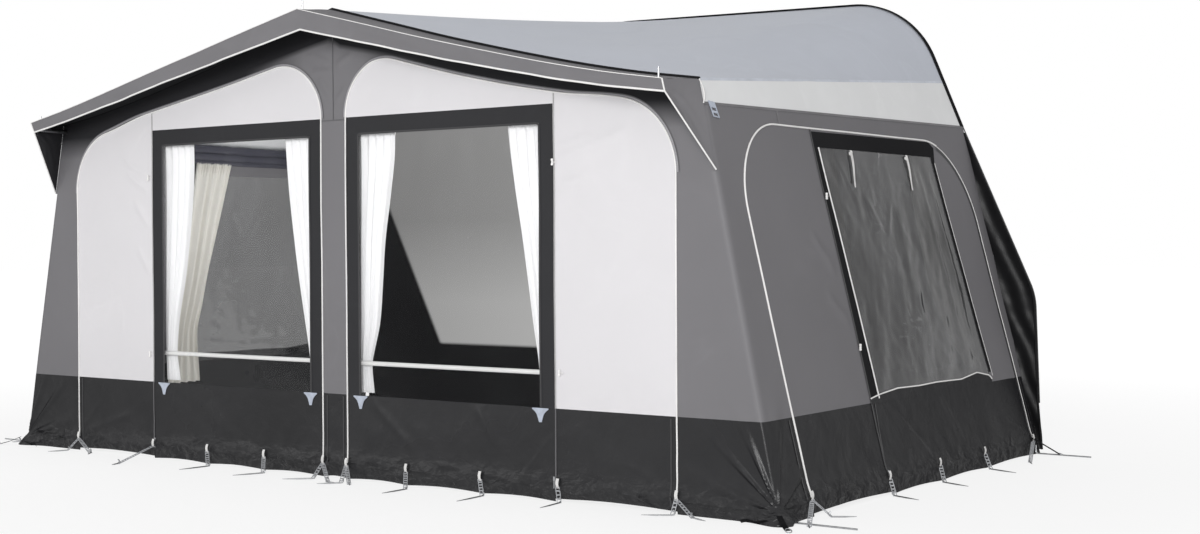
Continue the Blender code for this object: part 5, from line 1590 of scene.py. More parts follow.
class AWNING_OT_side_walls(bpy.types.Operator):
    """Make the side walls' panels, doors, windows and mudwalls"""

    bl_idname = "awning.side_walls"
    bl_label = "Side walls"

    def execute(self, context):
        for sign, hand in HANDS:
            self.add_panels(sign, hand)
            self.add_window(sign, hand)
        return {"FINISHED"}

    def panel(self, name, sign, outline, material, node=None, body="shell", out=0.0, detail=1.0):
        place = partial(side_point, sign, out=out)
        outline = [Vector(point) for point in outline]
        cloth_panel(name, outline, place, side_outward(sign), material, node, body, detail=detail)

    def add_panels(self, sign, hand):
        arch = side_arch(HALF_GAP)
        outer = side_arch(-HALF_GAP)
        low, top = MUDWALL_HEIGHT, SIDE_ARCH_HEIGHT
        body = f"side_door_leaf_{hand}"
        door = [*arch[: ARC_STEPS + 2], side_line(SIDE_DOOR_EDGE, top), side_line(SIDE_DOOR_EDGE, low)]
        node = f"side_door_{hand}"
        self.panel(f"side_door_cloth_{hand}", sign, door, "grey_cloth", node, body, detail=1.6)
        foot = [side_line(SIDE_ZIP, z) for z in (DOOR_FLOOR_CLEARANCE, low)]
        foot += [side_line(SIDE_DOOR_EDGE, z) for z in (low, DOOR_FLOOR_CLEARANCE)]
        node = f"side_door_mudwall_{hand}"
        self.panel(f"side_door_foot_{hand}", sign, foot, "black_cloth", node, body, detail=2.5)
        film_top = SIDE_FILM_TOP_HEIGHT
        panel = [
            side_line(SIDE_DOOR_EDGE, low, HALF_GAP),
            side_line(SIDE_DOOR_EDGE, top, HALF_GAP),
            *arch[ARC_STEPS + 2 :],
            *(side_line(SIDE_FILM_REAR, z) for z in (low, film_top)),
            *(side_line(SIDE_FILM_FRONT, z) for z in (film_top, low)),
        ]
        node = f"side_window_panel_{hand}"
        self.panel(f"side_window_cloth_{hand}", sign, panel, "grey_cloth", node)
        rear_top = wall_rear_y(WALL_TOP_REAR_HEIGHT)
        surround = [
            (SIDE_SEAM_Y + HALF_GAP, top),
            *outer[ARC_STEPS + 2 : -1],
            side_line(SIDE_REAR_ZIP, low, HALF_GAP),
            (wall_rear_y(low), low),
            (rear_top, wall_top(rear_top)),
            (SIDE_SEAM_Y + HALF_GAP, wall_top(SIDE_SEAM_Y)),
        ]
        node = f"side_surround_{hand}"
        self.panel(f"side_surround_cloth_{hand}", sign, surround, "grey_cloth", node)
        rear = [
            side_line(SIDE_DOOR_EDGE, 0.0, HALF_GAP),
            side_line(SIDE_DOOR_EDGE, low, HALF_GAP),
            (wall_rear_y(low), low),
            (wall_rear_y(0.0), 0.0),
        ]
        node = f"side_mudwall_{hand}"
        self.panel(f"side_mudwall_cloth_{hand}", sign, rear, "black_cloth", node, detail=2.5)

    def add_window(self, sign, hand):
        low, top = MUDWALL_HEIGHT, SIDE_FILM_TOP_HEIGHT
        film = [side_line(SIDE_FILM_FRONT, z) for z in (low, top)]
        film += [side_line(SIDE_FILM_REAR, z) for z in (top, low)]

        def place(y, z, out=0.0):
            front_edge = y - side_line(SIDE_FILM_FRONT, z)[0]
            rear_edge = side_line(SIDE_FILM_REAR, z)[0] - y
            inside = ease(min(front_edge, rear_edge, top - z, z - low), 0.1)
            wave = 0.007 * ripple(y, z * 0.4, 0.12, 61.0 + sign) + 0.003 * ripple(y, z, 0.05, 63.0)
            crease = fold_depth(y, z, FILM_FOLDS)
            return side_point(sign, y, z, out + (wave + crease) * inside - 0.001)

        name, node = f"side_clear_{hand}", f"side_window_film_{hand}"
        outward = side_outward(sign)
        cloth_panel(name, film, place, outward, "side_film", node, thickness=FILM_THICKNESS, detail=1.6)
        border = [
            side_line(SIDE_DOOR_EDGE, low + 0.012, 0.004),
            side_line(SIDE_DOOR_EDGE, 1.642, 0.004),
            (2.13, 1.648),
            (2.185, 1.62),
            side_line(SIDE_FILM_REAR, 1.535, BORDER_REAR_WIDTH),
            side_line(SIDE_FILM_REAR, low + 0.05, BORDER_REAR_WIDTH),
            side_line(SIDE_FILM_REAR, low + 0.05),
            side_line(SIDE_FILM_REAR, top),
            side_line(SIDE_FILM_FRONT, top),
            side_line(SIDE_FILM_FRONT, low + 0.012),
        ]
        self.panel(f"side_window_border_{hand}", sign, border, "dark_border", out=0.0014)
        sill = [*SIDE_SILL, (2.331, low - 0.006), (0.963, low - 0.006)]
        self.panel(f"side_window_sill_{hand}", sign, sill, "black_cloth", out=0.0026, detail=2.0)


class AWNING_OT_flaps(bpy.types.Operator):
    """Make the padded strips along the rear edge and their bindings"""

    bl_idname = "awning.flaps"
    bl_label = "Sealing flaps"

    def execute(self, context):
        for sign, hand in HANDS:
            path = split_at_height(rail_path(), FLAP_TOP_HEIGHT)[1]
            outer = [Vector((x - FLAP_RAIL_GAP, z)) for x, z in path]
            foot_x = max(outer[-1][0], side_x(FLAP_FOOT_HEIGHT) + FLAP_THICKNESS)
            outer.append(Vector((foot_x, FLAP_FOOT_HEIGHT)))
            inner = [Vector((side_x(z) + 0.0003, z)) for z in (FLAP_FOOT_HEIGHT, FLAP_TOP_HEIGHT)]
            bm = cut_outline(outer + inner, 0.012)
            add_flat_map(bm)

            def place(x, z):
                slanted = 2 * math.pi * (0.92 * x + 0.38 * z) / FLAP_FOLD_SPACING
                fold = 0.003 * ripple(x, z, 0.06, 71.0)
                fold += 0.005 * math.sin(slanted + 2.5 * ripple(x, z, 0.25, 72.0))
                return Vector((sign * x, FRONT_Y + rear_y(z) - FLAP_THICKNESS * 0.75 + fold, z))

            hang(bm, place)
            thickness = FLAP_THICKNESS * 0.55
            piece = cloth_piece(f"sealing_pad_{hand}", bm, AHEAD, ["pad_cloth"], thickness=thickness)[0]
            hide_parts(f"sealing_flap_{hand}")
            edge = []
            for x, z in resampled(outer, FLAP_BINDING_POINTS):
                edge.append(Vector((sign * (x - 0.002), FRONT_Y + rear_y(z) - FLAP_THICKNESS * 0.6, z)))
            tube(f"sealing_binding_{hand}", edge, FLAP_BINDING_RADIUS, "webbing")
        return {"FINISHED"}


# Curtains


def curtain_point(sign, edge_x, step, table, folds, across, down):
    """A point in the middle of a curtain's cloth; across runs from its fixed edge, down from its top."""
    hung = CURTAIN_WIDTH * table_value(table, down)
    x = edge_x + step * (across * (hung + CURTAIN_HIDDEN_WIDTH) - CURTAIN_HIDDEN_WIDTH)
    bend = across + 0.05 * ripple(across * 3.0, down * 1.2, 0.7, 81.0) + 0.02 * math.sin(2.5 * down)
    wave = 0.8 * math.sin(2 * math.pi * folds * bend) + 0.35 * ripple(across * 5.0, down * 1.5, 0.5, 82.0)
    gathers = 0.35 * math.sin(2 * math.pi * 4 * folds * across) * (1 - ease(down, 0.05))
    swing = 0.013 * (0.55 + 0.45 * ease(down, 0.2))
    y = TRACK_DEPTH + swing * (1 + min(max(wave + gathers, -1.0), 1.0)) + 0.016 * down
    z = CURTAIN_TOP_HEIGHT + (CURTAIN_FOOT_HEIGHT - CURTAIN_TOP_HEIGHT) * down
    return Vector((sign * x, FRONT_Y + y, z))


# Turns of the rolled cover: height, distance inside the wall and radius
COVER_ROLLS = ((1.735, 0.045, 0.026), (1.692, 0.05, 0.025), (1.659, 0.046, 0.017))
SIDE_CURTAIN_CUT_WIDTH = 0.55
PLEAT_COLUMNS = 24

# Edges of the side windows' curtains, as (share of the drop, distance behind the front wall)
SIDE_CURTAIN_FRONT = (
    ((0.0, 0.93), (0.5, 0.93), (1.0, 0.93)),
    ((0.0, 1.2), (0.33, 1.155), (0.62, 1.124), (0.77, 1.104), (1.0, 1.18)),
)
SIDE_CURTAIN_REAR = (
    ((0.0, 1.95), (0.22, 1.96), (0.45, 1.955), (0.65, 1.96), (0.82, 2.05), (1.0, 2.22)),
    ((0.0, 2.2), (0.5, 2.28), (1.0, 2.38)),
)


class AWNING_OT_curtains(bpy.types.Operator):
    """Make the curtains behind the front and side windows"""

    bl_idname = "awning.curtains"
    bl_label = "Curtains"

    def execute(self, context):
        folds = sizes().folds
        film_in, film_out = STRIP_HALF_WIDTH + WINDOW_BORDER, WINDOW_EDGE_X - WINDOW_BORDER
        for sign, hand in HANDS:
            self.add_curtain(sign, f"{hand}_outer", film_out, -1, folds)
            self.add_curtain(sign, f"{hand}_inner", film_in, 1, folds)
            self.add_side_curtain(sign, hand, "front", SIDE_CURTAIN_FRONT, (1.65, 0.3), folds - 1)
            self.add_side_curtain(sign, hand, "rear", SIDE_CURTAIN_REAR, (1.65, 0.5), folds - 1)
            self.add_rolled_cover(sign, hand)
        return {"FINISHED"}

    def add_curtain(self, sign, label, edge_x, step, folds):
        table = tuple(zip(CURTAIN_HEIGHT_SHARES, CURTAIN_SHARES[label]))
        drop = CURTAIN_TOP_HEIGHT - CURTAIN_FOOT_HEIGHT
        cut_width = 2.2 * CURTAIN_WIDTH
        bm = grid(PLEAT_COLUMNS * folds, 80, cut_width, drop)
        add_flat_map(bm)
        hang(bm, lambda a, b: curtain_point(sign, edge_x, step, table, folds, a / cut_width, b / drop))
        name, side = f"curtain_cloth_{label}", label.split("_")[0]
        body = f"{label}_curtain"
        piece, area = cloth_piece(name, bm, AHEAD, ["curtain_cloth"], body, thickness=CURTAIN_THICKNESS)
        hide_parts(f"curtain_{label}")

    def add_side_curtain(self, sign, hand, label, edges, lengths, folds):
        """A paler curtain gathered at one end of a side window, inside; edges are tables of its two edges."""
        top, low = lengths
        cut_width = SIDE_CURTAIN_CUT_WIDTH
        bm = grid(PLEAT_COLUMNS * folds, 70, cut_width, top - low)
        add_flat_map(bm)

        def place(a, b):
            across, down = a / cut_width, b / (top - low)
            first, last = (table_value(edge, down) for edge in edges)
            y = first + across * (last - first)
            drift = 1.5 * ripple(across * 3, down * 2, 0.7, 85.0)
            wave = 0.8 * math.sin(2 * math.pi * folds * across + drift)
            gathers = 0.6 * math.sin(2 * math.pi * 5 * folds * across) * (1 - ease(down, 0.07))
            inset = 0.05 + 0.013 * (1 + min(max(wave + gathers, -1.0), 1.0))
            head = 0.008 * math.sin(2 * math.pi * 5 * folds * across) * (1 - ease(down, 0.02))
            return Vector((sign * side_x(top - b), FRONT_Y + y, top - b + head)) - side_outward(sign) * inset

        hang(bm, place)
        name = f"side_curtain_{label}_{hand}"
        piece, area = cloth_piece(name, bm, side_outward(sign), ["cream_cloth"], thickness=CURTAIN_THICKNESS)

    def add_rolled_cover(self, sign, hand):
        """The dark window cover, rolled up inside over a side window."""
        for number, (z, inset, size) in enumerate(COVER_ROLLS):
            path, taper = [], []
            for step in range(61):
                y = 0.9 + 1.35 * step / 60
                dip = 0.006 * math.sin(math.pi * step / 60) + 0.003 * ripple(y, z, 0.12, 87.0)
                path.append(Vector((sign * side_x(z), FRONT_Y + y, z - dip)) - side_outward(sign) * inset)
                taper.append(1 + 0.12 * ripple(y, z * 3, 0.06, 88.0) - 0.12 * (step % 20 == 10))
            roll = tube(f"rolled_cover_{hand}_{number + 1}", path, size, "dark_roll", taper=taper, sides=5)


# Piping and zips

PIPING_FOOT_HEIGHT = 0.078
PIPING_END = ARC_STEPS + 8
ZIP_GAP = 0.014
SIDE_SEAM_WIDTH = 0.012

# Trim round the white panels: distance outside them, width, material and lift
ARCH_TRIM = {"edge": (0.009, 0.018, "dark_seam", SEAM_LIFT), "tape": (0.0095, 0.009, "arch_tape", 0.0022)}


class AWNING_OT_zips(bpy.types.Operator):
    """Make the white piping and the zips of the walls"""

    bl_idname = "awning.zips"
    bl_label = "Piping and zips"

    def execute(self, context):
        radius = sizes().piping
        foot = PIPING_FOOT_HEIGHT
        for sign, hand in HANDS:
            outline = white_outline(0.0)
            outline = [Vector((outline[0][0], foot)), *outline[1:-1], Vector((outline[-1][0], foot))]
            path = [(sign * a, b) for a, b in outline]
            wall_piping(f"front_piping_{hand}", path, front_point, radius)
            for label, (gap, width, material, lift) in ARCH_TRIM.items():
                arch = [(sign * a, b) for a, b in white_outline(-gap)[1:-1]]
                wall_tape(f"front_arch_{label}_{hand}", arch, front_point, width, material, lift)
            top = white_top(WINDOW_EDGE_X)
            zips = {"low": (foot, MUDWALL_HEIGHT, "grey_zip"), "high": (MUDWALL_HEIGHT, top, "pale_zip")}
            for label, (low, high, material) in zips.items():
                line = [(sign * WINDOW_EDGE_X, low), (sign * WINDOW_EDGE_X, high)]
                wall_tape(f"front_zip_{label}_{hand}", line, front_point, SEAM_WIDTH, material, TAPE_LIFT)
            place = partial(side_point, sign)
            arch = side_arch(0.0)
            front = [side_line(SIDE_ZIP, foot), *arch[1:PIPING_END]]
            wall_piping(f"side_piping_front_{hand}", front, place, radius * 1.15)
            rear = [*arch[PIPING_END - 1 : -1], side_line(SIDE_REAR_ZIP, foot)]
            wall_piping(f"side_piping_rear_{hand}", rear, place, radius * 0.6)
            beside = [*side_arch(ZIP_GAP)[PIPING_END - 1 : -1], side_line(SIDE_REAR_ZIP, foot, -ZIP_GAP)]
            wall_tape(f"side_zip_rear_{hand}", beside, place, 0.016, "black_zip", TAPE_LIFT)
            edge = [side_line(SIDE_DOOR_EDGE, foot), side_line(SIDE_DOOR_EDGE, SIDE_ARCH_HEIGHT)]
            wall_tape(f"side_zip_{hand}", edge, place, SIDE_SEAM_WIDTH, "black_zip", TAPE_LIFT)
            seam = [(SIDE_SEAM_Y, SIDE_ARCH_HEIGHT), (SIDE_SEAM_Y, wall_top(SIDE_SEAM_Y))]
            wall_tape(f"side_top_seam_{hand}", seam, place, SIDE_SEAM_WIDTH, "grey_seam", SEAM_LIFT)
            film_edge = [side_line(SIDE_FILM_FRONT, SIDE_FILM_TOP_HEIGHT), side_line(SIDE_FILM_FRONT, 0.425)]
            wall_piping(f"side_window_piping_front_{hand}", film_edge, place, radius * 0.9, 0.0015)
            wall_piping(f"side_window_piping_foot_{hand}", SIDE_SILL, place, radius * 0.9, 0.0026)
            rear_edge = [side_line(SIDE_FILM_REAR, 1.54, 0.032), side_line(SIDE_FILM_REAR, 0.44, 0.032)]
            wall_piping(f"side_window_piping_rear_{hand}", rear_edge, place, radius * 0.35, 0.0015)
            self.add_mudwall_seams(sign, hand, place)
        return {"FINISHED"}

    def add_mudwall_seams(self, sign, hand, place):
        """Double seams beside the zips in the black cloth."""
        high = MUDWALL_HEIGHT - 0.01
        for label, x in (("strip", STRIP_HALF_WIDTH - 0.028), ("corner", CORNER_ZIP_X - 0.03)):
            line = [(sign * x, 0.03), (sign * x, high)]
            wall_tape(f"foot_seam_{label}_{hand}", line, front_point, SEAM_WIDTH, "black_seam")
        lines = {
            "zip": [side_line(SIDE_ZIP, 0.03, -0.035), side_line(SIDE_ZIP, high, -0.035)],
            "window": [(0.985, 0.09), (1.0, 0.42)],
            "rear": [side_line(SIDE_REAR_ZIP, 0.03, 0.03), side_line(SIDE_REAR_ZIP, high, 0.03)],
        }
        for label, line in lines.items():
            wall_tape(f"side_foot_seam_{label}_{hand}", line, place, SEAM_WIDTH, "black_seam")


# Straps, pegs and fittings

# Tapes as (width, thickness), and the radii of cords and rings
LOOP_TAPE = (0.015, 0.002)
CORNER_STRAP = (0.024, 0.0022)
STRAP_TAIL = (0.022, 0.002)
TIE_TAPE = (0.022, 0.0012)
RING_RADIUS = 0.0022
TOGGLE_CORD_RADIUS = 0.0012
KNOT_RADIUS = 0.004
LADDER_RUNG = 0.02
LADDER_RIM = 0.0042
LADDER_THICKNESS = 0.0028
BUCKLE_SIZE = (0.045, 0.066)
BUCKLE_RIM = 0.0065
BUCKLE_THICKNESS = 0.004
TAB_THICKNESS = 0.0025


def ladder(name, start, end, width):
    """A rubber ladder strap from start to end, with its face up."""
    direction = end - start
    length = direction.length
    rungs = max(3, round(length / LADDER_RUNG))
    bm = grid(1, rungs, width, length)
    add_flat_map(bm)
    open_cells(bm, LADDER_RIM)
    along = direction.normalized()
    sideways = along.cross(UP).normalized()
    facing = sideways.cross(along)
    if facing.z < 0:
        facing = -facing
    for vert in bm.verts:
        vert.co = start + along * vert.co.y + sideways * (vert.co.x - width / 2) + facing * 0.001
    turn_outwards(bm, facing)
    make_solid(bm, LADDER_THICKNESS)
    add_piece(name, bm, ["ladder_rubber"])


def peg(name, hook, tip, radius):
    """A round steel peg that lies on the ground with its hook through a ladder strap."""
    along = (tip - hook).normalized()
    back = hook - along * 0.012
    path = [hook + UP * 0.022 - along * 0.004, back + UP * 0.016, back + UP * 0.006, hook + UP * 0.001]
    path += [hook.lerp(tip, 0.5), tip]
    smooth = rounded(path, [0.0, 0.006, 0.005, 0.006, 0.0, 0.0], 5)
    taper = [1.0] * (len(smooth) - 1) + [0.35]
    tube(name, smooth, radius, "zinc_steel", taper=taper, sides=2)


def strap_loop(name, top, outward):
    """A short white webbing loop that joins a ladder strap to the hem."""
    across = UP.cross(outward).normalized()
    path = []
    for step in range(17):
        turn = math.pi * step / 16
        path.append(top + UP * (0.02 - 0.042 * step / 16) + outward * (0.003 + 0.006 * math.sin(turn)))
    ribbon(name, path, [across] * len(path), *LOOP_TAPE, "white_tape")


def strap_set(label, top, outward, feet, tips):
    """A loop on the hem, and a ladder and a peg for each foot."""
    radius = sizes().peg_radius
    strap_loop(f"strap_loop_{label}", top, outward)
    start = top + outward * 0.006 - UP * 0.016
    for index, (foot, tip) in enumerate(zip(feet, tips)):
        suffix = f"{label}_{index + 1}"
        ground = Vector((foot[0], FRONT_Y + foot[1], radius))
        end = Vector((tip[0], FRONT_Y + tip[1], radius))
        ladder(f"ladder_{suffix}", start, ground, sizes().strap_width)
        peg(f"strap_peg_{suffix}", ground, end, radius)


# Straps as (top across, ladder feet, peg tips); feet and tips are (x, y behind the front wall) on the ground
FRONT_SETS = (
    (-1.996, ((-2.01, -0.075), (-1.8, -0.08)), ((-2.06, -0.165), (-1.77, -0.12))),
    (-1.355, ((-1.305, -0.285),), ((-1.3, -0.325),)),
    (-0.927, ((-0.83, -0.09),), ((-0.857, -0.254),)),
    (-0.505, ((-0.4, -0.11),), ((-0.467, -0.247),)),
    (-0.083, ((-0.05, -0.11), (0.1, -0.155)), ((-0.165, -0.2), (0.15, -0.15))),
    (0.083, ((0.17, -0.14), (0.235, -0.15)), ((0.09, -0.22), (0.26, -0.17))),
    (0.47, ((0.57, -0.125),), ((0.56, -0.27),)),
    (0.93, ((1.0, -0.085),), ((1.0, -0.26),)),
    (1.37, ((1.41, -0.05),), ((1.42, -0.2),)),
    (1.998, ((2.0, -0.05), (2.11, -0.06)), ((1.885, -0.11), (2.19, -0.09))),
)
SIDE_SETS = (
    (0.266, ((2.605, 0.025), (2.57, 0.285)), ((2.625, -0.005), (2.65, 0.35))),
    (0.988, ((2.535, 0.945),), ((2.67, 0.9),)),
    (1.528, ((2.545, 1.45),), ((2.685, 1.4),)),
    (2.06, ((2.545, 2.0),), ((2.695, 1.95),)),
    (2.705, ((2.605, 2.36),), ((2.64, 2.3),)),
)


class AWNING_OT_straps(bpy.types.Operator):
    """Make the ladder straps and pegs along the hem"""

    bl_idname = "awning.straps"
    bl_label = "Straps and pegs"

    def execute(self, context):
        for number, (x, feet, tips) in enumerate(FRONT_SETS):
            top = front_point(x, 0.082, 0.001)
            strap_set(f"front_{number + 1}", top, AHEAD, feet, tips)
        for sign, hand in HANDS:
            for number, (y, feet, tips) in enumerate(SIDE_SETS):
                top = side_point(sign, y, 0.085, 0.001)
                feet = [(sign * foot[0], foot[1]) for foot in feet]
                tips = [(sign * tip[0], tip[1]) for tip in tips]
                strap_set(f"side_{hand}_{number + 1}", top, side_outward(sign), feet, tips)
            self.add_corner_straps(sign, hand)
        return {"FINISHED"}

    def add_corner_straps(self, sign, hand):
        """The black straps that hold the front and rear corners down, each with a ring."""
        places = {
            "front": ((2.500, -0.030, 0.045), (2.545, -0.075, 0.020), (2.585, -0.112, 0.006)),
            "rear": ((2.480, 2.700, 0.090), (2.560, 2.715, 0.045), (2.625, 2.725, 0.008)),
        }
        for label, points in places.items():
            path = [Vector((sign * x, FRONT_Y + y, z)) for x, y, z in points]
            smooth = spaced(rounded(path, [0.0, 0.03, 0.0], 6), 0.006)
            ahead = (path[2] - path[0]).normalized()
            across = ahead.cross(UP).normalized()
            ribbon(f"corner_strap_{label}_{hand}", smooth, [across] * len(smooth), *CORNER_STRAP, "webbing")
            centre = path[2] + ahead * 0.011 + UP * 0.004
            level = Vector((ahead.x, ahead.y, 0.0)).normalized()
            side = level.cross(UP)
            ring = []
            for step in range(24):
                turn = 2 * math.pi * step / 24
                level_turn = level * math.cos(turn) + side * math.sin(turn)
                ring.append(centre + level_turn * 0.013 - UP * (0.006 * math.cos(turn)))
            tube(f"corner_ring_{label}_{hand}", ring, RING_RADIUS, "zinc_steel", closed=True)
        tail = []
        for step in range(9):
            z = 0.012 + 0.004 * math.sin(1.3 * step)
            tail.append(Vector((sign * (2.46 - 0.016 * step), FRONT_Y - 0.028 - 0.003 * step, z)))
        across = [Vector((0.0, -0.8, 0.6))] * len(tail)
        ribbon(f"corner_strap_tail_{hand}", tail, across, *STRAP_TAIL, "webbing")


# The half outline of a window tab, with the radius at each corner
TAB_CORNERS = ((0.0, 0.408, 0.0), (0.052, 0.408, 0.003), (0.02, 0.385, 0.05), (0.007, 0.345, 0.003))


class AWNING_OT_fittings(bpy.types.Operator):
    """Make the toggles, tabs, buckles and ties"""

    bl_idname = "awning.fittings"
    bl_label = "Fittings"

    def execute(self, context):
        for x, z in ((-1.382, 1.502), (-1.38, 0.557), (1.349, 1.497), (1.38, 0.568)):
            side = "left" if x < 0 else "right"
            level = "upper" if z > 1.0 else "lower"
            body = f"front_door_leaf_{side}" if abs(x) > WINDOW_EDGE_X else "shell"
            self.add_toggle(f"toggle_{side}_{level}", front_point(x, z, 0.008), AHEAD, body)
        for sign, hand in HANDS:
            self.add_buckle(sign, hand)
            self.add_ties(sign, hand)
            for label, x in (("outer", 1.27), ("inner", 0.17)):
                self.add_tab(f"window_tab_{hand}_{label}", sign * x)
            for level, y, z in (("upper", 0.905, 1.345), ("lower", 0.945, 0.66)):
                name, body = f"side_toggle_{hand}_{level}", f"side_door_leaf_{hand}"
                self.add_toggle(name, side_point(sign, y, z, 0.008), side_outward(sign), body)
        return {"FINISHED"}

    def add_toggle(self, name, place, outward, body):
        """A small barrel with an elastic cord round its waist."""
        half = [(0.0, 0.0), (0.001, 0.005), (0.006, 0.0065), (0.011, 0.0045)]
        profile = half + [(0.016, 0.0038)] + [(0.032 - along, radius) for along, radius in reversed(half)]
        lathe(name, profile, place - UP * 0.016, place + UP * 0.016, "white_plastic", body)
        across = UP.cross(outward).normalized()
        cord = []
        for step in range(25):
            turn = 2 * math.pi * step / 24
            along = 0.012 * (1 - math.cos(turn))
            cord.append(place + across * (along - 0.005) + UP * (0.003 * math.sin(turn)) - outward * 0.003)
        tube(f"{name}_cord", cord[:-1], TOGGLE_CORD_RADIUS, "white_piping", body, closed=True)

    def add_tab(self, name, x):
        """A pointed plastic tab that holds a window corner to the mudwall."""
        corners = [*TAB_CORNERS, *((-a, b, radius) for a, b, radius in reversed(TAB_CORNERS))]
        outline = rounded([Vector(point[:2]) for point in corners], [point[2] for point in corners], 5)[:-1]
        bm = cut_outline([(x + a, b) for a, b in outline], 0.008)
        add_flat_map(bm)
        hang(bm, lambda a, b: front_point(a, b, 0.0035))
        cloth_piece(name, bm, AHEAD, ["grey_plastic"], thickness=TAB_THICKNESS)

    def add_buckle(self, sign, hand):
        """A plastic tab with two slots at the top of the side wall."""
        bm = grid(1, 3, *BUCKLE_SIZE)
        add_flat_map(bm)
        open_cells(bm, BUCKLE_RIM, 1)
        hang(bm, lambda a, b: side_point(sign, 0.04 + a - 0.3 * (b - 0.04), 1.66 + b - 0.1 * a, 0.006))
        turn_outwards(bm, side_outward(sign))
        make_solid(bm, BUCKLE_THICKNESS)
        add_piece(f"pole_buckle_{hand}", bm, ["grey_plastic"])

    def add_ties(self, sign, hand):
        """Two white tapes that tie up the side window's cover."""
        for number, (y, slant) in enumerate(((1.225, -0.015), (1.822, 0.005))):
            path = []
            for step in range(20):
                bow = 0.006 * math.sin(step / 4)
                path.append(side_point(sign, y + bow + slant * step / 19, 1.566 - 0.0092 * step, 0.008))
            across = [Vector((0.0, 1.0, 0.0)) * (1 - 0.03 * step) for step in range(20)]
            name = f"window_tie_{hand}_{number + 1}"
            ribbon(name, path, across, *TIE_TAPE, "white_tape")
            knot = [Vector((0.0, 0.012 * math.sin(turn), 0.01 * math.cos(turn) - 0.012)) for turn in range(6)]
            tube(f"{name}_knot", [path[0] + point for point in knot], KNOT_RADIUS, "white_piping")


class AWNING_OT_frame_finish(bpy.types.Operator):
    """Give the poles, pegs, sliders and bead their finishes"""

    bl_idname = "awning.frame_finish"
    bl_label = "Frame finish"

    def execute(self, context):
        finishes = {
            "awning_bead": "black_plastic",
            "veranda_bar": "white_paint",
            "clamp_lever": "black_plastic",
            "front_zip_slider": "zinc_steel",
            "side_zip_slider": "zinc_steel",
        }
        for name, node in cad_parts.items():
            if node.hide_render:
                continue
            start = next((key for key in finishes if name.startswith(key)), None)
            material = bpy.data.materials[f"awning_{finishes.get(start, 'zinc_steel')}"]
            node.data.materials.clear()
            node.data.materials.append(material)
            weld = node.modifiers.new("weld", "WELD")
            weld.merge_threshold = 0.00001
            node.modifiers.new("edges", "EDGE_SPLIT").split_angle = math.radians(35)
            for face in node.data.polygons:
                face.use_smooth = True
        return {"FINISHED"}


def seen_directly(nodes):
    """1 where the camera sees a place itself, in a reflection or through clear material."""
    ray = nodes.add("ShaderNodeLightPath").outputs
    through = nodes.math("MAXIMUM", ray["Is Glossy Ray"], ray["Is Transmission Ray"])
    return nodes.math("MAXIMUM", ray["Is Camera Ray"], through)


# Lamps as (place, the point they shine at, power, size), and the power of the lamp inside each side
LAMPS = {
    "key": ((8.5, -15.5, 4.0), (-8.8, -5.5, 1.0), 1780, (6.0, 4.0)),
    "fill": ((-11.0, -13.0, 3.0), (0.8, FRONT_Y, 0.4), 150, (3.0, 2.0)),
}
INNER_LAMP_POWERS = (14.0, 5.0)
BOARD_EDGE_GAP = 0.06
BOARD_TOP_GAP = 0.05
BOARD_REAR_GAP = 0.03


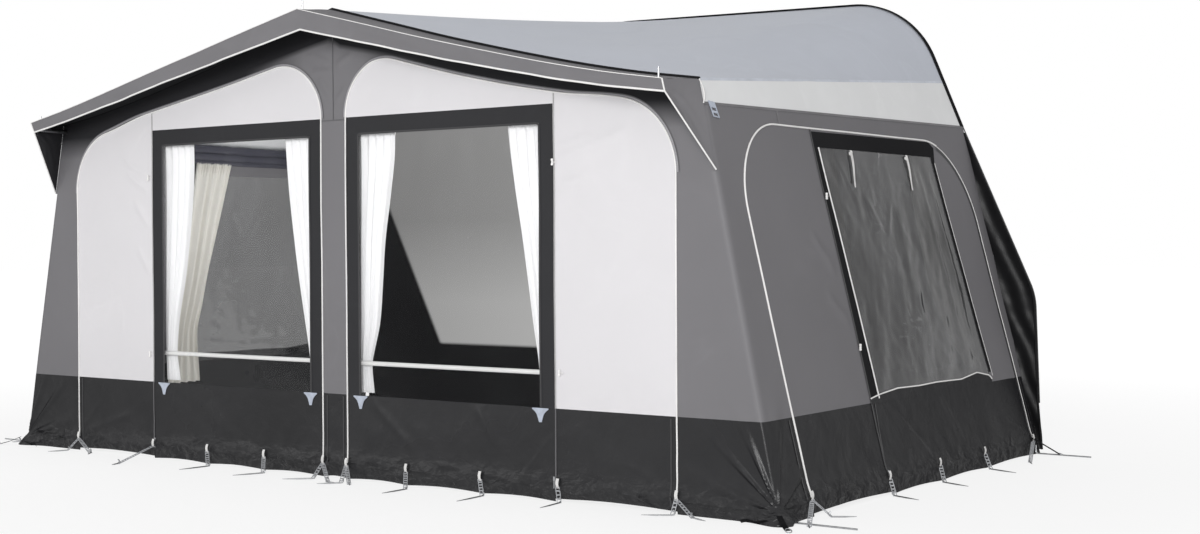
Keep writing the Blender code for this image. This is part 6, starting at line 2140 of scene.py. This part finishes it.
class AWNING_OT_stage(bpy.types.Operator):
    """Make the floor, the light and the camera"""

    bl_idname = "awning.stage"
    bl_label = "Stage"

    def execute(self, context):
        self.add_floor()
        self.add_board()
        self.add_world(context.scene)
        self.add_lamps()
        self.add_camera(context.scene)
        context.scene.view_settings.view_transform = "Standard"
        return {"FINISHED"}

    def add_floor(self):
        bm = bmesh.new()
        bmesh.ops.create_grid(bm, x_segments=1, y_segments=1, size=60.0)
        bmesh.ops.translate(bm, vec=(0.0, 0.0, -0.001), verts=bm.verts)
        floor = mesh_object("floor", bm)
        nodes = new_material("pale_floor")
        nodes.shade(Roughness=0.9)
        nodes.shade(Specular_IOR_Level=0.1)
        places = nodes.places()
        away = nodes.add("ShaderNodeVectorMath", {0: places}, operation="LENGTH").outputs["Value"]
        white = nodes.times(nodes.stretch(away, 3.5, 8.0, 0.8, 1.0), seen_directly(nodes))
        nodes.shade(Base_Color=nodes.mix(white, (0.9, 0.9, 0.9, 1.0), (0.0, 0.0, 0.0, 1.0)))
        nodes.shade(Emission_Color=(1.0, 1.0, 1.0, 1.0))
        nodes.shade(Emission_Strength=white)
        floor.data.materials.append(bpy.data.materials["awning_pale_floor"])

    def add_board(self):
        """A board behind the open rear, seen only from the front through the windows: near black as painted
        shade of the inside, grey from x = -0.55 on.
        """
        top, band = roof_profiles()
        edge = [Vector((x, z)) for x, z in top[1][::8]] + [band[1][-1]]
        half = [Vector((max(x - BOARD_EDGE_GAP, 0.0), z - BOARD_TOP_GAP)) for x, z in edge]
        half.append(Vector((HALF_WIDTH - BOARD_EDGE_GAP, 0.0)))
        outline = half + [Vector((-x, z)) for x, z in reversed(half[1:])]
        bm = cut_outline(outline, 0.4)
        hang(bm, lambda x, z: Vector((x, FRONT_Y + rear_y(z) - BOARD_REAR_GAP, z)))
        turn_outwards(bm, AHEAD)
        board = mesh_object("board", bm)
        nodes = new_material("board_grey")
        nodes.shade(Roughness=1.0)
        nodes.shade(Specular_IOR_Level=0.0)
        parts = nodes.parts(nodes.places())
        pale = nodes.stretch(parts["X"], -0.75, -0.55)
        tint = nodes.mix(pale, (0.006, 0.006, 0.007, 1.0), (0.3, 0.3, 0.3, 1.0))
        nodes.shade(Base_Color=tint)
        # Painted light: for camera rays the board glows in a patch on its left half, standing in for a lit
        # surface seen through the windows.
        slope = nodes.plus(parts["X"], nodes.times(parts["Z"], 0.42))
        left_edge = nodes.stretch(slope, -1.53, -1.5)
        right_fall = nodes.fall(parts["X"], -0.8, -0.2)
        high = nodes.stretch(parts["Z"], 0.455, 0.475)
        rise = nodes.stretch(parts["X"], -2.1, -0.9, 0.75, 1.0)
        lower = nodes.stretch(parts["Z"], 0.75, 1.3, 0.4, 0.26)
        painted_glow = nodes.times(nodes.times(rise, lower), nodes.times(left_edge, high))
        painted_glow = nodes.times(painted_glow, right_fall)
        nodes.shade(Emission_Color=(1.0, 0.995, 0.985, 1.0))
        seen = nodes.add("ShaderNodeLightPath").outputs["Is Camera Ray"]
        nodes.shade(Emission_Strength=nodes.times(painted_glow, seen))
        behind = nodes.add("ShaderNodeNewGeometry").outputs["Backfacing"]
        nodes.shade(Alpha=nodes.math("SUBTRACT", 1.0, behind))
        board.data.materials.append(bpy.data.materials["awning_board_grey"])

    def add_world(self, scene):
        world = bpy.data.worlds.new("studio")
        world.use_nodes = True
        scene.world = world
        nodes = Nodes(world.node_tree)
        background = world.node_tree.nodes["Background"]
        background.inputs["Color"].default_value = (1.0, 1.0, 1.0, 1.0)
        nodes.put(background.inputs["Strength"], nodes.stretch(seen_directly(nodes), 0.0, 1.0, 0.55, 1.0))

    def add_lamps(self):
        """The key light, a weaker one from the left, and soft ones behind the side windows' curtains."""
        for name, values in LAMPS.items():
            self.add_lamp(name, *values)
        for (sign, hand), energy in zip(HANDS, INNER_LAMP_POWERS):
            place, aim = (sign * 0.85, FRONT_Y + 1.3, 1.25), (sign * 2.3, FRONT_Y + 1.2, 1.05)
            inner = self.add_lamp(f"inner_{hand}", place, aim, energy, (1.4, 0.9))
            inner.visible_camera = False
            inner.visible_glossy = False

    def add_lamp(self, name, place, aim, energy, size):
        lamp = bpy.data.lights.new(name, "AREA")
        lamp.energy = energy
        lamp.shape = "RECTANGLE"
        lamp.size, lamp.size_y = size
        shining = add_object(name, lamp)
        shining.location = place
        shining.rotation_mode = "QUATERNION"
        shining.rotation_quaternion = (Vector(aim) - shining.location).to_track_quat("-Z", "Y")
        return shining

    def add_camera(self, scene):
        data = bpy.data.cameras.new("camera")
        data.lens = CAMERA_LENS_MM
        data.sensor_width = CAMERA_SENSOR_MM
        data.clip_end = 200.0
        camera = add_object("camera", data)
        yaw, pitch, roll = CAMERA_YAW, CAMERA_PITCH, CAMERA_ROLL
        ahead = Vector((-math.sin(yaw) * math.cos(pitch), math.cos(yaw) * math.cos(pitch), math.sin(pitch)))
        right = Vector((math.cos(yaw), math.sin(yaw), 0.0))
        up = right.cross(ahead)
        turned_right = right * math.cos(roll) + up * math.sin(roll)
        turned_up = up * math.cos(roll) - right * math.sin(roll)
        axes = Matrix((turned_right, turned_up, -ahead)).transposed().to_4x4()
        camera.matrix_world = Matrix.Translation(Vector(CAMERA_PLACE)) @ axes
        scene.camera = camera


class AWNING_PT_panel(bpy.types.Panel):
    """Lists the awning's pieces"""

    bl_idname = "AWNING_PT_panel"
    bl_label = "Caravan awning"
    bl_space_type = "VIEW_3D"
    bl_region_type = "UI"
    bl_category = "Awning"

    def draw(self, context):
        for operator in PIECES:
            self.layout.operator(operator.bl_idname)
        for group in (sizes(), context.scene.awning_colours):
            for name in group.__annotations__:
                self.layout.prop(group, name)


class AWNING_OT_materials(bpy.types.Operator):
    """Make the awning's materials"""

    bl_idname = "awning.materials"
    bl_label = "Materials"

    def execute(self, context):
        build_materials(context.scene.awning_colours)
        return {"FINISHED"}


PIECES = (
    AWNING_OT_materials,
    AWNING_OT_roof,
    AWNING_OT_canopy,
    AWNING_OT_front_wall,
    AWNING_OT_corners,
    AWNING_OT_side_walls,
    AWNING_OT_flaps,
    AWNING_OT_curtains,
    AWNING_OT_zips,
    AWNING_OT_straps,
    AWNING_OT_fittings,
    AWNING_OT_frame_finish,
    AWNING_OT_stage,
)
CLASSES = (AwningSizes, AwningColours, *PIECES, AWNING_PT_panel)


def register():
    for item in CLASSES:
        bpy.utils.register_class(item)
    bpy.types.Scene.awning_sizes = PointerProperty(type=AwningSizes)
    bpy.types.Scene.awning_colours = PointerProperty(type=AwningColours)


def unregister():
    del bpy.types.Scene.awning_colours
    del bpy.types.Scene.awning_sizes
    for item in reversed(CLASSES):
        bpy.utils.unregister_class(item)


def main():
    register()
    for operator in PIECES:
        group, name = operator.bl_idname.split(".")
        getattr(getattr(bpy.ops, group), name)()


if __name__ == "__main__":
    main()
